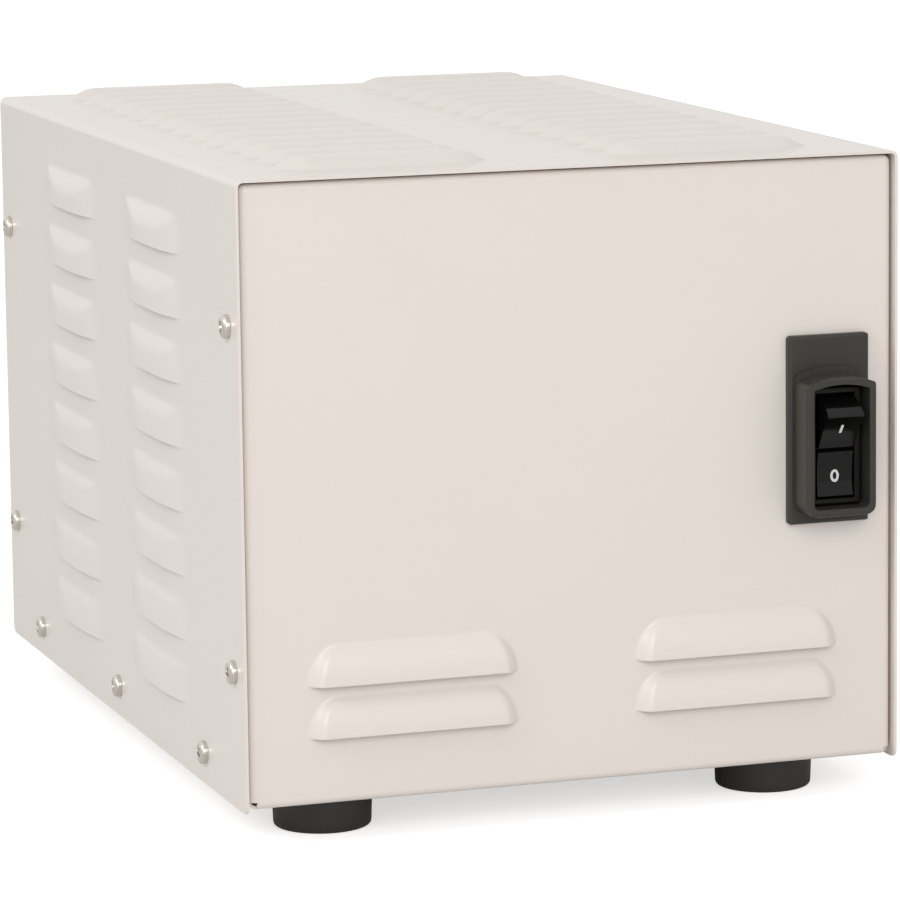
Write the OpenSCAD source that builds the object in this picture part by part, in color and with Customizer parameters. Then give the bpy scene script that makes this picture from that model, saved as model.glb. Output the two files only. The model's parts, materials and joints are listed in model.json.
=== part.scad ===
// Isolation transformer in a louvred sheet-steel case.
// The front faces -Y, up is +Z, and the four feet stand on Z = 0.
// Places inside the case are counted from the cover's front edge and lower edge.

/* [Case] */
// Width of the cover
cover_w = 216; // [200:1:250]
// Depth of the cover
cover_d = 306; // [300:1:350]
// Height of the cover sides
cover_h = 195; // [190:1:230]
// Thickness of the case sheet
sheet_t = 1.2; // [1:0.1:1.6]
// Outside bend radius of the cover
cover_bend_r = 2.4; // [2:0.1:4]
// Outside bend radius of the chassis
chassis_bend_r = 2.4; // [1.8:0.1:3]
// How far the front and rear panels sit inside the cover
panel_recess = 1.4; // [0.5:0.1:3]
// Gap between the cover and the chassis
slip_gap = 0.4; // [0.2:0.1:0.6]
// How far the base sits above the cover's lower edge
base_lift = 1.1; // [1:0.1:4]
// Width of the chassis flanges
flange_w = 18; // [17:1:22]

/* [Louvres] */
// Length of one louvre
louvre_l = 67.5; // [55:0.5:75]
// Width of one louvre, from the slit to the toe
louvre_rise = 12.5; // [10:0.5:14]
// How far a louvre bulges out
louvre_bulge = 3.6; // [2.8:0.1:4.5]
// Length of the slopes at the ends of a louvre in the cover
louvre_slope = 6; // [4:0.5:8]
// Length of the slopes at the ends of a louvre in the front
front_slope = 3.8; // [3:0.1:6]
// Distance from one louvre to the next in a side
louvre_pitch = 20.4; // [18:0.2:21]
// Distance from one louvre to the next in the top
top_pitch = 19.8; // [18:0.2:21]
// Distance between the two columns of louvres
column_gap = 107; // [85:1:110]
// Louvres in each column of the top
top_rows = 14; // [4:1:14]
// Louvres in each column of a side
side_rows = 8; // [2:1:8]
// Height of the lowest slit in a side
side_low = 21.8; // [20:0.2:26]
// Louvres in each column of the front
front_rows = 2; // [1:1:2]
// Height of the lowest slit in the front
front_low = 22.2; // [14:0.2:26]
// Distance between the rows in the front
front_pitch = 16.2; // [15:0.2:19]

/* [Cover screws] */
// Radius of a cover screw's head
screw_head_r = 3.7; // [3.2:0.1:4.5]
// Height of a cover screw's head
screw_head_h = 2.4; // [1.8:0.1:3]
// Radius of a cover screw's shank
screw_r = 2; // [1.6:0.1:2.4]
// Length of a cover screw's shank
screw_l = 8; // [6:0.5:12]
// Distance of the upright screw rows from the cover's ends
screw_inset = 10.9; // [8:0.1:14]
// Height of the lower screw in an upright row
screw_low = 42.8; // [38:0.2:50]
// Distance between the screws of one row
screw_span = 106.8; // [95:0.2:120]
// Height of the bottom row of screws
screw_bottom = 10.3; // [9:0.1:12]

/* [Feet] */
// Radius of a foot at its top
foot_r = 15.9; // [12:0.1:18]
// Radius of a foot at the floor
foot_low_r = 15.4; // [11:0.1:17]
// Height of a foot
foot_h = 13.3; // [11:0.1:20]
// Distance of a foot's middle from the cover's side
foot_side = 33.5; // [24:0.5:38]
// Distance of a foot's middle from the cover's end
foot_end = 31.5; // [26:0.5:34]

/* [Switch and guard] */
// Distance of the switch's middle from the right side
switch_side = 24; // [22:0.1:40]
// Height of the rocker's pivot
switch_z = 103.4; // [95:0.1:110]
// Width of the guard's plate
guard_w = 27.2; // [26:0.1:34]
// Length of the guard's plate above the pivot
guard_up = 34.6; // [33:0.1:42]
// Length of the guard's plate below the pivot
guard_down = 25.3; // [25:0.1:32]
// Thickness of the guard's plate
guard_plate_t = 3; // [2.4:0.1:3.4]
// How far the collar stands out of the panel
collar_out = 13.4; // [13:0.1:16]
// Wall of the collar
collar_t = 2.5; // [2:0.1:2.8]
// Width of the switch's bezel
bezel_w = 17.8; // [17.4:0.1:18.6]
// Height of the switch's bezel
bezel_h = 37.4; // [37:0.1:38]
// Thickness of the bezel
bezel_t = 4.6; // [4:0.1:5]
// Width of the rocker
rocker_w = 12.1; // [11:0.1:12.4]
// Length of one half of the rocker
rocker_half = 14.8; // [13:0.1:15]
// Angle of the rocker from off to on, in degrees
rocker_angle = 38; // [30:1:40]
// Depth of the switch behind the panel
switch_d = 30; // [24:1:36]

/* [Transformer] */
// Width of the core's middle leg
tongue_w = 54; // [52:0.5:57]
// Thickness of the stack of laminations
stack_d = 90; // [80:1:95]
// How far the core sits behind the middle of the case
core_back = 14; // [10:1:18]
// Gap between the core and the base
core_lift = 4; // [3.5:0.5:8]
// Share of the window's width that the primary winding fills
primary_share = 0.35; // [0.2:0.01:0.35]
// Share of the window's width that the secondary winding fills
secondary_share = 0.39; // [0.2:0.01:0.39]

/* [Outlets and gland] */
// Distance between two outlets
outlet_pitch = 52; // [46:1:58]
// Height of the middle of the outlets
outlet_z = 118; // [110:1:124]
// Depth of an outlet's body behind the panel
outlet_d = 24; // [20:1:26]
// Radius of the gland's bore
gland_bore_r = 5.5; // [4:0.1:6]
// Distance of the gland's middle from the cover's side
gland_side = 38; // [34:1:60]
// Height of the gland's middle
gland_z = 34; // [30:1:38]

/* [Hidden] */
$fn = 48;
overrun = 1;
fit_gap = 0.15;

// Case
case_half = cover_w / 2;
chassis_w = cover_w - 2 * (sheet_t + slip_gap);
chassis_d = cover_d - 2 * panel_recess;
chassis_top = cover_h - sheet_t - slip_gap;
chassis_h = chassis_top - base_lift;
base_top = base_lift + sheet_t;
rear_y = cover_d - panel_recess;
corner_r = 3;
relief_r = 1.1;
foot_drop = foot_h - base_lift;

// Louvres
louvre_arc_r = (louvre_rise * louvre_rise + louvre_bulge * louvre_bulge) / (2 * louvre_bulge);
toe_room = 0.1;
louvre_corner_r = louvre_rise + toe_room;
louvre_straight = louvre_l - 2 * louvre_corner_r;
top_first = (cover_d + louvre_rise - (top_rows - 1) * top_pitch) / 2;

// Screws in the case
screw_hole_gap = 0.3;
screw_hole_r = screw_r + screw_hole_gap;

// Feet
foot_edge_r = 1.2;
foot_well_r = 7;
foot_well_h = 7.5;
foot_screw_r = 2.1;
foot_screw_head_r = 4.6;
foot_screw_head_h = 3;
foot_nut_r = 4.6;
foot_nut_h = 3.2;

// Switch and guard
switch_x = case_half - switch_side;
rocker_half_angle = rocker_angle / 2;
collar_room = 0.5;
collar_w = bezel_w + 2 * (collar_room + collar_t);
collar_h = bezel_h + 2 * (collar_room + collar_t);
collar_corner_r = 4.4;
collar_arch_r = 30;
collar_arch_rise = 1;
collar_rim_r = 1.2;
collar_step_h = 1.5;
collar_step_w = 2.2;
guard_corner_r = 1.2;
guard_h = guard_up + guard_down;
guard_mid = (guard_up - guard_down) / 2;
bezel_corner_r = 2;
bezel_edge = 1.2;
bezel_rim_r = 0.8;
switch_hole_gap = 0.2;
body_w = bezel_w - 2 * bezel_edge;
body_h = bezel_h - 2 * bezel_edge;
bezel_front = guard_plate_t + bezel_t;
face_proud = 0.4;
valley_r = 3.5;
groove_half = 0.8;
groove_floor_half = 0.2;
groove_d = 1.6;
pivot_out = bezel_front + face_proud - valley_r * cos(rocker_half_angle);
rocker_tip_out = valley_r + rocker_half * sin(rocker_half_angle);
rocker_tip_up = rocker_half * cos(rocker_half_angle);
rocker_r = sqrt(rocker_tip_out * rocker_tip_out + rocker_tip_up * rocker_tip_up);
rocker_back = 2.5;
rocker_room = 0.6;
pivot_r = 1.3;
pivot_gap = 0.08;
pivot_l = 1.2;
well_w = rocker_w + 2 * rocker_room;
well_h = 2 * (rocker_r + rocker_room);
well_back = rocker_back + rocker_r * sin(rocker_half_angle) + rocker_room - pivot_out;
wing_w = 8;
wing_l = 7;
wing_h = 1.4;
blade_w = 6.3;
blade_t = 0.8;
blade_l = 8;
blade_root = 3;
blade_up_share = 0.3;
blade_side_share = 0.25;

// Transformer core and coil
core_w = 3 * tongue_w;
yoke_w = tongue_w / 2;
window_w = tongue_w / 2;
window_h = 3 * window_w;
core_h = window_h + 2 * yoke_w;
primary_t = primary_share * window_w;
secondary_t = secondary_share * window_w;
core_y = cover_d / 2 + core_back;
core_z = base_top + core_lift;
core_hole_x = core_w / 2 - yoke_w / 2;
core_bolt_r = 3;
core_hole_r = 3.4;
bobbin_t = 2;
bobbin_gap = 0.4;
layer_gap = 0.1;
shield_t = 0.4;
wrap_t = 1.2;
flange_gap = 0.6;
coil_end = 1.5;

// Core brackets
bracket_t = 3;
bracket_leg = 24;
bracket_foot = 24;
bracket_side_share = 0.36;
base_bolt_r = 4;
base_hole_r = 4.3;
base_head_r = 7.2;
base_head_h = 4.5;
base_nut_r = 7.4;
base_nut_h = 6.4;
core_head_r = 5.8;
core_head_h = 4;
bolt_tail = 4;

// Outlets
face_r = 17.2;
face_h = 28.4;
face_proud_out = 2.6;
face_gap = 0.3;
face_offset = 19.3;
outlet_w = 36;
outlet_h = 71;
outlet_corner_r = 2;
outlet_pin_gap = 12.7;
slot_w = 2;
hot_slot_h = 6.6;
neutral_slot_h = 8.2;
slot_up = 3.6;
ground_r = 2.6;
ground_down = 8.2;
slot_d = 18;
contact_t = 0.5;
contact_d = 9;
contact_gap = 0.1;
strap_t = 1.4;
strap_w = 20;
strap_h = 106;
outlet_screw_up = 41.65;
outlet_screw_r = 1.75;
outlet_head_r = 3.3;
outlet_head_h = 2;
outlet_screw_l = 9;

// Gland
gland_x = gland_side - case_half;
gland_wall = 2.6;
gland_tube_r = gland_bore_r + gland_wall;
gland_flange_rim = 5;
gland_flange_r = gland_tube_r + gland_flange_rim;
gland_flange_h = 5;
gland_thread_out = 12;
gland_thread_in = 9;
gland_nut_h = 17;
gland_nut_gap = 0.4;
gland_nut_wall = 3.2;
gland_lip_h = 3.5;
gland_lock_h = 5;
gland_out = gland_flange_h + gland_nut_gap + gland_nut_h;

// Surge board and terminals, in the room between the front panel and the core's brackets
inner_half = chassis_w / 2 - sheet_t;
front_mid = (panel_recess + sheet_t + core_y - stack_d / 2 - bracket_foot) / 2;
board_w = 72;
board_d = 46;
board_t = 1.6;
board_side = 37;
board_x = board_side + board_w / 2 - inner_half;
board_corner_r = 3;
board_hole_inset = 5;
standoff_r = 3;
standoff_h = 10;
board_screw_r = 1.5;
board_head_r = 2.8;
board_head_h = 1.8;
varistor_r = 10;
varistor_t = 5;
varistor_gap = 14;
varistor_lift = 2;
lead_r = 0.5;
lead_side = 3.75;
film_w = 26;
film_d = 13;
film_h = 22;
film_corner_r = 1.2;
block_w = 58;
block_d = 22;
block_h = 9;
block_wall_h = 16;
block_wall_t = 1.6;
block_ways = 5;
block_side = 52;
block_x = inner_half - block_side;
block_head_r = 3.5;
block_head_h = 2.2;
stud_r = 2.4;
stud_l = 18;
stud_nut_r = 4.9;
stud_nut_h = 3.6;
stud_side = 21.2;
stud_back = 30;
stud_x = stud_side - inner_half;
stud_y = front_mid + stud_back;
cutout_w = 22;
cutout_d = 7;
cutout_h = 12;
cutout_edge_r = 1.5;
cutout_tab_w = 4.8;
cutout_tab_l = 7;

// The whole case is centred on its outermost points.
rocker_front = bezel_front + face_proud + rocker_half * sin(rocker_angle);
out_front = max(collar_out, rocker_front) - panel_recess;
out_rear = gland_out - panel_recess;
y_shift = (out_front - out_rear - cover_d) / 2;

// Shared shapes

module placed() {
  translate([0, y_shift, foot_drop]) children();
}

module round_rect(w, h, r) {
  square([w - 2 * r, h], center = true);
  square([w, h - 2 * r], center = true);
  for (sx = [-1, 1], sy = [-1, 1])
    translate([sx * (w / 2 - r), sy * (h / 2 - r)]) circle(r);
}

module round_box(w, d, h, r) {
  intersection() {
    linear_extrude(h, center = true) round_rect(w, d, r);
    rotate([90, 0, 0]) linear_extrude(d, center = true) round_rect(w, h, r);
    rotate([90, 0, 90]) linear_extrude(w, center = true) round_rect(d, h, r);
  }
}

// Outline in X and Z, thickened forwards from Y = 0
module forward(h) {
  rotate([90, 0, 0]) linear_extrude(h) children();
}

// Round bar along Y, starting at Y = 0 and running back
module bar_y(r, l) {
  rotate([-90, 0, 0]) cylinder(r = r, h = l);
}

module pan_head(r, h) {
  cap_r = (r * r + h * h) / (2 * h);
  intersection() {
    translate([0, 0, h - cap_r]) sphere(cap_r);
    cylinder(r = r, h = h);
  }
}

module hex(r, h) {
  cylinder(r = r, h = h, $fn = 6);
}

// Louvres: the slit runs along X at Y = 0, the dome leans towards +Y and out of +Z

// A shallow arc from the slit to the toe, brought down at both ends by a ball that is round in plan
module louvre_form(slope, inset) {
  depth = (slope * (2 * louvre_corner_r - slope) - louvre_bulge * louvre_bulge) / (2 * louvre_bulge);
  ball = sqrt(louvre_corner_r * louvre_corner_r + depth * depth) - inset;
  intersection() {
    translate([0, 0, louvre_bulge - louvre_arc_r]) rotate([0, 90, 0])
      cylinder(r = louvre_arc_r - inset, h = louvre_l + 2 * overrun, center = true);
    translate([0, 0, -depth]) {
      rotate([0, 90, 0]) cylinder(r = ball, h = louvre_straight, center = true);
      for (s = [-1, 1]) translate([s * louvre_straight / 2, 0, 0]) sphere(ball);
    }
  }
}

module louvre_dome(slope) {
  intersection() {
    louvre_form(slope, 0);
    translate([-louvre_l / 2, 0, -sheet_t]) cube([louvre_l, louvre_rise, sheet_t + louvre_bulge]);
  }
}

module louvre_hollow(slope) {
  intersection() {
    louvre_form(slope, sheet_t);
    translate([-louvre_l / 2, 0, -sheet_t - overrun])
      cube([louvre_l, louvre_rise, sheet_t + overrun + louvre_bulge]);
  }
}

module each_top_louvre() {
  for (c = [-1, 1], i = [0 : top_rows - 1])
    translate([c * column_gap / 2, top_first + i * top_pitch, cover_h])
      rotate([0, 0, 180]) children();
}

module each_side_louvre() {
  for (s = [-1, 1], c = [-1, 1], i = [0 : side_rows - 1])
    translate([s * case_half, cover_d / 2 + c * column_gap / 2, side_low + i * louvre_pitch])
      rotate([90, 0, s * 90]) children();
}

module each_front_louvre() {
  for (c = [-1, 1], i = [0 : front_rows - 1])
    translate([c * column_gap / 2, panel_recess, front_low + i * front_pitch])
      rotate([90, 0, 0]) children();
}

// Places of the fasteners in the case

// Outward along +Z from the cover's side
module each_cover_screw() {
  for (s = [-1, 1]) {
    for (y = [screw_inset, cover_d - screw_inset], z = [screw_low, screw_low + screw_span])
      translate([s * case_half, y, z]) rotate([0, s * 90, 0]) children();
    for (i = [-1 : 1])
      translate([s * case_half, cover_d / 2 + i * screw_span, screw_bottom])
        rotate([0, s * 90, 0]) children();
  }
}

module each_foot() {
  for (sx = [-1, 1], y = [foot_end, cover_d - foot_end])
    translate([sx * (case_half - foot_side), y, base_lift]) children();
}

module each_base_bolt() {
  for (sx = [-1, 1], sy = [-1, 1])
    translate([sx * core_w * bracket_side_share, core_y + sy * (stack_d + bracket_foot) / 2, base_lift])
      children();
}

module each_core_bolt() {
  for (sx = [-1, 1], z = [yoke_w / 2, core_h - yoke_w / 2])
    translate([sx * core_hole_x, core_y, core_z + z]) children();
}

module each_board_post() {
  for (sx = [-1, 1], sy = [-1, 1])
    translate([
      board_x + sx * (board_w / 2 - board_hole_inset),
      front_mid + sy * (board_d / 2 - board_hole_inset),
      base_top
    ]) children();
}

module each_outlet() {
  for (i = [-1 : 1]) outlet_place(i) children();
}

module outlet_place(i) {
  translate([i * outlet_pitch, rear_y, outlet_z]) children();
}

module at_switch() {
  translate([switch_x, panel_recess, switch_z]) children();
}

module at_gland() {
  translate([gland_x, rear_y, gland_z]) children();
}

// Cover

module cover_section() {
  difference() {
    round_rect(cover_w, 2 * cover_h, cover_bend_r);
    round_rect(cover_w - 2 * sheet_t, 2 * (cover_h - sheet_t), cover_bend_r - sheet_t);
    translate([-cover_w, -2 * cover_h]) square([2 * cover_w, 2 * cover_h]);
  }
}

module corner_trim() {
  difference() {
    translate([-overrun, -overrun]) square(corner_r + overrun);
    translate([corner_r, corner_r]) circle(corner_r);
  }
}

module cover() {
  color("gainsboro") placed() difference() {
    union() {
      translate([0, cover_d, 0]) forward(cover_d) cover_section();
      each_top_louvre() louvre_dome(louvre_slope);
      each_side_louvre() louvre_dome(louvre_slope);
    }
    each_top_louvre() louvre_hollow(louvre_slope);
    each_side_louvre() louvre_hollow(louvre_slope);
    each_cover_screw()
      translate([0, 0, -sheet_t - overrun]) cylinder(r = screw_hole_r, h = sheet_t + 2 * overrun);
    rotate([90, 0, 90]) linear_extrude(cover_w + 2 * overrun, center = true) corner_trim();
    translate([0, cover_d, 0]) mirror([0, 1, 0])
      rotate([90, 0, 90]) linear_extrude(cover_w + 2 * overrun, center = true) corner_trim();
  }
}

module cover_screws() {
  color("silver") placed() each_cover_screw() {
    pan_head(screw_head_r, screw_head_h);
    translate([0, 0, -screw_l]) cylinder(r = screw_r, h = screw_l);
  }
}

// Chassis: base, front and rear panels with flanges, in one sheet

module chassis_shell() {
  translate([0, cover_d / 2, base_lift + chassis_h / 2]) difference() {
    round_box(chassis_w, chassis_d, chassis_h, chassis_bend_r);
    round_box(
      chassis_w - 2 * sheet_t, chassis_d - 2 * sheet_t,
      chassis_h - 2 * sheet_t, chassis_bend_r - sheet_t
    );
  }
}

module chassis_window() {
  translate([-cover_w / 2, panel_recess + flange_w, base_lift + flange_w])
    cube([cover_w, chassis_d - 2 * flange_w, cover_h]);
}

// Round notches where the base's bends meet
module corner_reliefs() {
  for (sx = [-1, 1], back = [0, 1])
    translate([sx * chassis_w / 2, back * cover_d, base_lift + chassis_bend_r]) mirror([0, back, 0])
      bar_y(relief_r, panel_recess + chassis_bend_r + relief_r);
}

// Open edges between the top and side flanges, from behind the panel's own bends
module flange_slits() {
  for (sx = [-1, 1], back = [0, 1])
    translate([sx * chassis_w / 2, back * cover_d, chassis_top]) mirror([0, back, 0])
      translate([-chassis_bend_r, panel_recess + 2 * chassis_bend_r, -chassis_bend_r])
        cube([2 * chassis_bend_r, flange_w, 2 * chassis_bend_r]);
}

module outlet_face_outline(gap) {
  intersection() {
    circle(face_r + gap);
    square([2 * (face_r + gap), face_h + 2 * gap], center = true);
  }
}

module chassis_holes() {
  at_switch() translate([0, sheet_t + overrun, 0]) forward(sheet_t + 2 * overrun)
    square([body_w + 2 * switch_hole_gap, body_h + 2 * switch_hole_gap], center = true);
  each_cover_screw()
    translate([0, 0, -screw_l]) cylinder(r = screw_r + fit_gap, h = screw_l);
  each_foot()
    translate([0, 0, -overrun]) cylinder(r = foot_screw_r + fit_gap, h = sheet_t + 2 * overrun);
  each_base_bolt()
    translate([0, 0, -overrun]) cylinder(r = base_hole_r, h = sheet_t + 2 * overrun);
  each_board_post()
    translate([0, 0, -sheet_t - overrun])
      cylinder(r = board_screw_r + fit_gap, h = sheet_t + 2 * overrun);
  for (s = [-1, 1])
    translate([block_x, front_mid + s * block_hole_y, base_lift - overrun])
      cylinder(r = board_screw_r + fit_gap, h = sheet_t + 2 * overrun);
  translate([stud_x, stud_y, base_lift - overrun])
    cylinder(r = stud_r + fit_gap, h = sheet_t + 2 * overrun);
  each_outlet() {
    for (s = [-1, 1]) {
      translate([0, overrun, s * face_offset]) forward(sheet_t + 2 * overrun)
        outlet_face_outline(face_gap);
      translate([0, -sheet_t - overrun, s * outlet_screw_up])
        bar_y(outlet_screw_r + fit_gap, sheet_t + 2 * overrun);
    }
  }
  at_gland() translate([0, -sheet_t - overrun, 0])
    bar_y(gland_tube_r + fit_gap, sheet_t + 2 * overrun);
}

module chassis() {
  color("lightgray") placed() difference() {
    union() {
      difference() {
        chassis_shell();
        chassis_window();
        corner_reliefs();
        flange_slits();
      }
      each_front_louvre() louvre_dome(front_slope);
    }
    each_front_louvre() louvre_hollow(front_slope);
    chassis_holes();
  }
}

// Feet

module foot_section() {
  polygon([
    [0, 0],
    [foot_low_r - foot_edge_r, 0],
    [foot_low_r, foot_edge_r],
    [foot_r, foot_h],
    [0, foot_h]
  ]);
  translate([foot_low_r - foot_edge_r, foot_edge_r]) circle(foot_edge_r);
}

module feet() {
  color("dimgray") placed() each_foot() translate([0, 0, -foot_h]) difference() {
    rotate_extrude() foot_section();
    translate([0, 0, -overrun]) cylinder(r = foot_well_r, h = foot_well_h + overrun);
    cylinder(r = foot_screw_r + fit_gap, h = foot_h + overrun);
  }
}

module foot_screws() {
  foot_screw_l = foot_h - foot_well_h + sheet_t + foot_nut_h + overrun;
  color("silver") placed() each_foot() translate([0, 0, foot_well_h - foot_h]) {
    mirror([0, 0, 1]) pan_head(foot_screw_head_r, foot_screw_head_h);
    cylinder(r = foot_screw_r, h = foot_screw_l);
  }
}

module foot_nuts() {
  color("silver") placed() each_foot() translate([0, 0, sheet_t]) difference() {
    hex(foot_nut_r, foot_nut_h);
    translate([0, 0, -overrun]) cylinder(r = foot_screw_r + fit_gap, h = foot_nut_h + 2 * overrun);
  }
}

// Switch guard: a plate with a raised collar open to the front

module arched(w, h, r, rise) {
  intersection() {
    translate([0, rise / 2]) round_rect(w, h + rise, r);
    translate([0, h / 2 + rise - collar_arch_r]) circle(collar_arch_r);
  }
}

// The front half of a block whose edges are rounded, standing out from Y = 0
module proud_block(w, out, h, r) {
  intersection() {
    round_box(w, 2 * out, h, r);
    translate([-w, -2 * out, -h]) cube([2 * w, 2 * out, 2 * h]);
  }
}

module switch_guard() {
  color("darkslategray") placed() at_switch() difference() {
    union() {
      translate([0, 0, guard_mid]) proud_block(guard_w, guard_plate_t, guard_h, guard_corner_r);
      forward(guard_plate_t + collar_step_h) translate([0, collar_step_w / 2])
        arched(collar_w, collar_h + collar_step_w, collar_corner_r, collar_arch_rise);
      intersection() {
        forward(collar_out) arched(collar_w, collar_h, collar_corner_r, collar_arch_rise);
        translate([0, 0, collar_arch_rise / 2])
          proud_block(collar_w, collar_out, collar_h + collar_arch_rise, collar_rim_r);
      }
    }
    translate([0, -guard_plate_t, 0]) forward(collar_out)
      arched(
        collar_w - 2 * collar_t, collar_h - 2 * collar_t,
        collar_corner_r - collar_t, collar_arch_rise
      );
    translate([0, overrun, 0]) forward(guard_plate_t + 2 * overrun)
      square([body_w + 2 * switch_hole_gap, body_h + 2 * switch_hole_gap], center = true);
  }
}

// Switch

module snap_wing() {
  translate([-wing_w / 2, 0, 0]) rotate([90, 0, 90]) linear_extrude(wing_w)
    polygon([[0, 0], [0, wing_h], [wing_l, 0]]);
}

module switch_body() {
  color("dimgray") placed() at_switch() difference() {
    union() {
      translate([0, -guard_plate_t, 0]) intersection() {
        forward(bezel_t) round_rect(bezel_w, bezel_h, bezel_corner_r);
        proud_block(bezel_w, bezel_t, bezel_h, bezel_rim_r);
      }
      translate([0, switch_d, 0]) forward(switch_d + guard_plate_t + bezel_t / 2)
        square([body_w, body_h], center = true);
      for (s = [0, 1]) mirror([0, 0, s]) translate([0, sheet_t + fit_gap, body_h / 2]) snap_wing();
    }
    translate([0, well_back, 0]) forward(well_back + bezel_front + overrun)
      square([well_w, well_h], center = true);
    translate([0, -pivot_out, 0]) rotate([0, 90, 0])
      cylinder(r = pivot_r + pivot_gap, h = well_w + 2 * (pivot_l - rocker_room + pivot_gap), center = true);
    each_blade() cube([blade_w, blade_root, blade_t], center = true);
  }
}

// Two faces at an angle, with a groove between them
module rocker_outline() {
  slope = tan(rocker_half_angle);
  intersection() {
    circle(rocker_r);
    polygon([
      [rocker_back, -rocker_r],
      [-valley_r - rocker_r * slope, -rocker_r],
      [-valley_r - groove_half * slope, -groove_half],
      [groove_d - valley_r, -groove_floor_half],
      [groove_d - valley_r, groove_floor_half],
      [-valley_r - groove_half * slope, groove_half],
      [-valley_r - rocker_r * slope, rocker_r],
      [rocker_back, rocker_r]
    ]);
  }
}

module switch_rocker() {
  color("black") placed() at_switch() translate([0, -pivot_out, 0]) {
    rotate([rocker_half_angle, 0, 0]) rotate([90, 0, 90])
      linear_extrude(rocker_w, center = true) rocker_outline();
    rotate([0, 90, 0]) cylinder(r = pivot_r, h = rocker_w + 2 * pivot_l, center = true);
  }
}

module each_blade() {
  for (sx = [-1, 1], sz = [-1, 1])
    translate([sx * body_w * blade_side_share, switch_d - blade_root / 2, sz * body_h * blade_up_share])
      children();
}

module switch_terminals() {
  color("goldenrod") placed() at_switch() each_blade()
    translate([-blade_w / 2, -blade_root / 2, -blade_t / 2]) cube([blade_w, blade_root + blade_l, blade_t]);
}

// Transformer core

module each_core_hole() {
  for (sx = [-1, 1], z = [yoke_w / 2, core_h - yoke_w / 2])
    translate([sx * core_hole_x, z]) circle(core_hole_r);
}

module core_part() {
  translate([0, core_y + stack_d / 2, core_z]) forward(stack_d) difference() {
    children();
    each_core_hole();
  }
}

module core_e_stack() {
  color("slategray") placed() core_part() {
    union() {
      translate([-core_w / 2, 0]) square([core_w, yoke_w]);
      translate([-core_w / 2, 0]) square([yoke_w, yoke_w + window_h]);
      translate([-tongue_w / 2, 0]) square([tongue_w, yoke_w + window_h]);
      translate([core_w / 2 - yoke_w, 0]) square([yoke_w, yoke_w + window_h]);
    }
  }
}

module core_i_stack() {
  color("lightslategray") placed() core_part()
    translate([-core_w / 2, yoke_w + window_h]) square([core_w, yoke_w]);
}

// Coil: rings round the middle leg, each built out from the one inside it

module coil_ring(from, thick, low, high) {
  inner_w = tongue_w + 2 * from;
  inner_d = stack_d + 2 * from;
  translate([0, core_y, core_z + yoke_w + low]) linear_extrude(high - low) difference() {
    round_rect(inner_w + 2 * thick, inner_d + 2 * thick, from + thick);
    round_rect(inner_w, inner_d, from);
  }
}

coil_low = flange_gap + bobbin_t;
coil_high = window_h - coil_low;
primary_from = bobbin_gap + bobbin_t + layer_gap;
shield_from = primary_from + primary_t + layer_gap;
secondary_from = shield_from + shield_t + layer_gap;
wrap_from = secondary_from + secondary_t + layer_gap;
coil_out = wrap_from + wrap_t;

module bobbin() {
  color("khaki") placed() {
    coil_ring(bobbin_gap, bobbin_t, flange_gap, window_h - flange_gap);
    coil_ring(bobbin_gap, coil_out + coil_end - bobbin_gap, flange_gap, coil_low);
    coil_ring(bobbin_gap, coil_out + coil_end - bobbin_gap, coil_high, window_h - flange_gap);
  }
}

module primary_winding() {
  color("peru") placed() coil_ring(primary_from, primary_t, coil_low, coil_high);
}

module shield_foil() {
  color("gold") placed() coil_ring(shield_from, shield_t, coil_low, coil_high);
}

module secondary_winding() {
  color("chocolate") placed() coil_ring(secondary_from, secondary_t, coil_low, coil_high);
}

module coil_wrap() {
  color("wheat") placed() coil_ring(wrap_from, wrap_t, coil_low, coil_high);
}

// Small bimetal case taped to the coil, with two tabs upwards
module thermal_cutout() {
  color("gray") placed()
    translate([0, core_y - stack_d / 2 - coil_out - cutout_d / 2, core_z + core_h / 2]) {
      linear_extrude(cutout_h, center = true) round_rect(cutout_w, cutout_d, cutout_edge_r);
      for (s = [-1, 1]) translate([s * cutout_w / 4, 0, (cutout_h + cutout_tab_l) / 2])
        cube([cutout_tab_w, blade_t, cutout_tab_l], center = true);
    }
}

// Core brackets: one angle on each long edge of the core

// Seen at the front of the core's lower edge, with Y = 0 on the core's face
module bracket() {
  difference() {
    union() {
      translate([-core_w / 2, -bracket_t, 0]) cube([core_w, bracket_t, bracket_leg + core_lift]);
      translate([-core_w / 2, -bracket_foot, 0]) cube([core_w, bracket_foot, bracket_t]);
    }
    for (s = [-1, 1]) {
      translate([s * core_hole_x, -bracket_t - overrun, core_lift + yoke_w / 2])
        bar_y(core_hole_r, bracket_t + 2 * overrun);
      translate([s * core_w * bracket_side_share, -bracket_foot / 2, -overrun])
        cylinder(r = base_hole_r, h = bracket_t + 2 * overrun);
    }
  }
}

module at_core_front() {
  translate([0, core_y - stack_d / 2, core_z - core_lift]) children();
}

module core_turned(up) {
  translate([0, 0, up * (core_h + 2 * core_lift)]) mirror([0, 0, up]) children();
}

module core_flipped(back) {
  translate([0, back * stack_d, 0]) mirror([0, back, 0]) children();
}

module bracket_front_low() {
  color("silver") placed() at_core_front() bracket();
}

module bracket_rear_low() {
  color("silver") placed() at_core_front() core_flipped(1) bracket();
}

module bracket_front_top() {
  color("silver") placed() at_core_front() core_turned(1) bracket();
}

module bracket_rear_top() {
  color("silver") placed() at_core_front() core_flipped(1) core_turned(1) bracket();
}

module core_bolts() {
  clamp = stack_d + 2 * bracket_t;
  color("silver") placed() each_core_bolt() translate([0, -clamp / 2, 0]) {
    bar_y(core_bolt_r, clamp + core_head_h + bolt_tail);
    rotate([90, 0, 0]) hex(core_head_r, core_head_h);
  }
}

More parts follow.
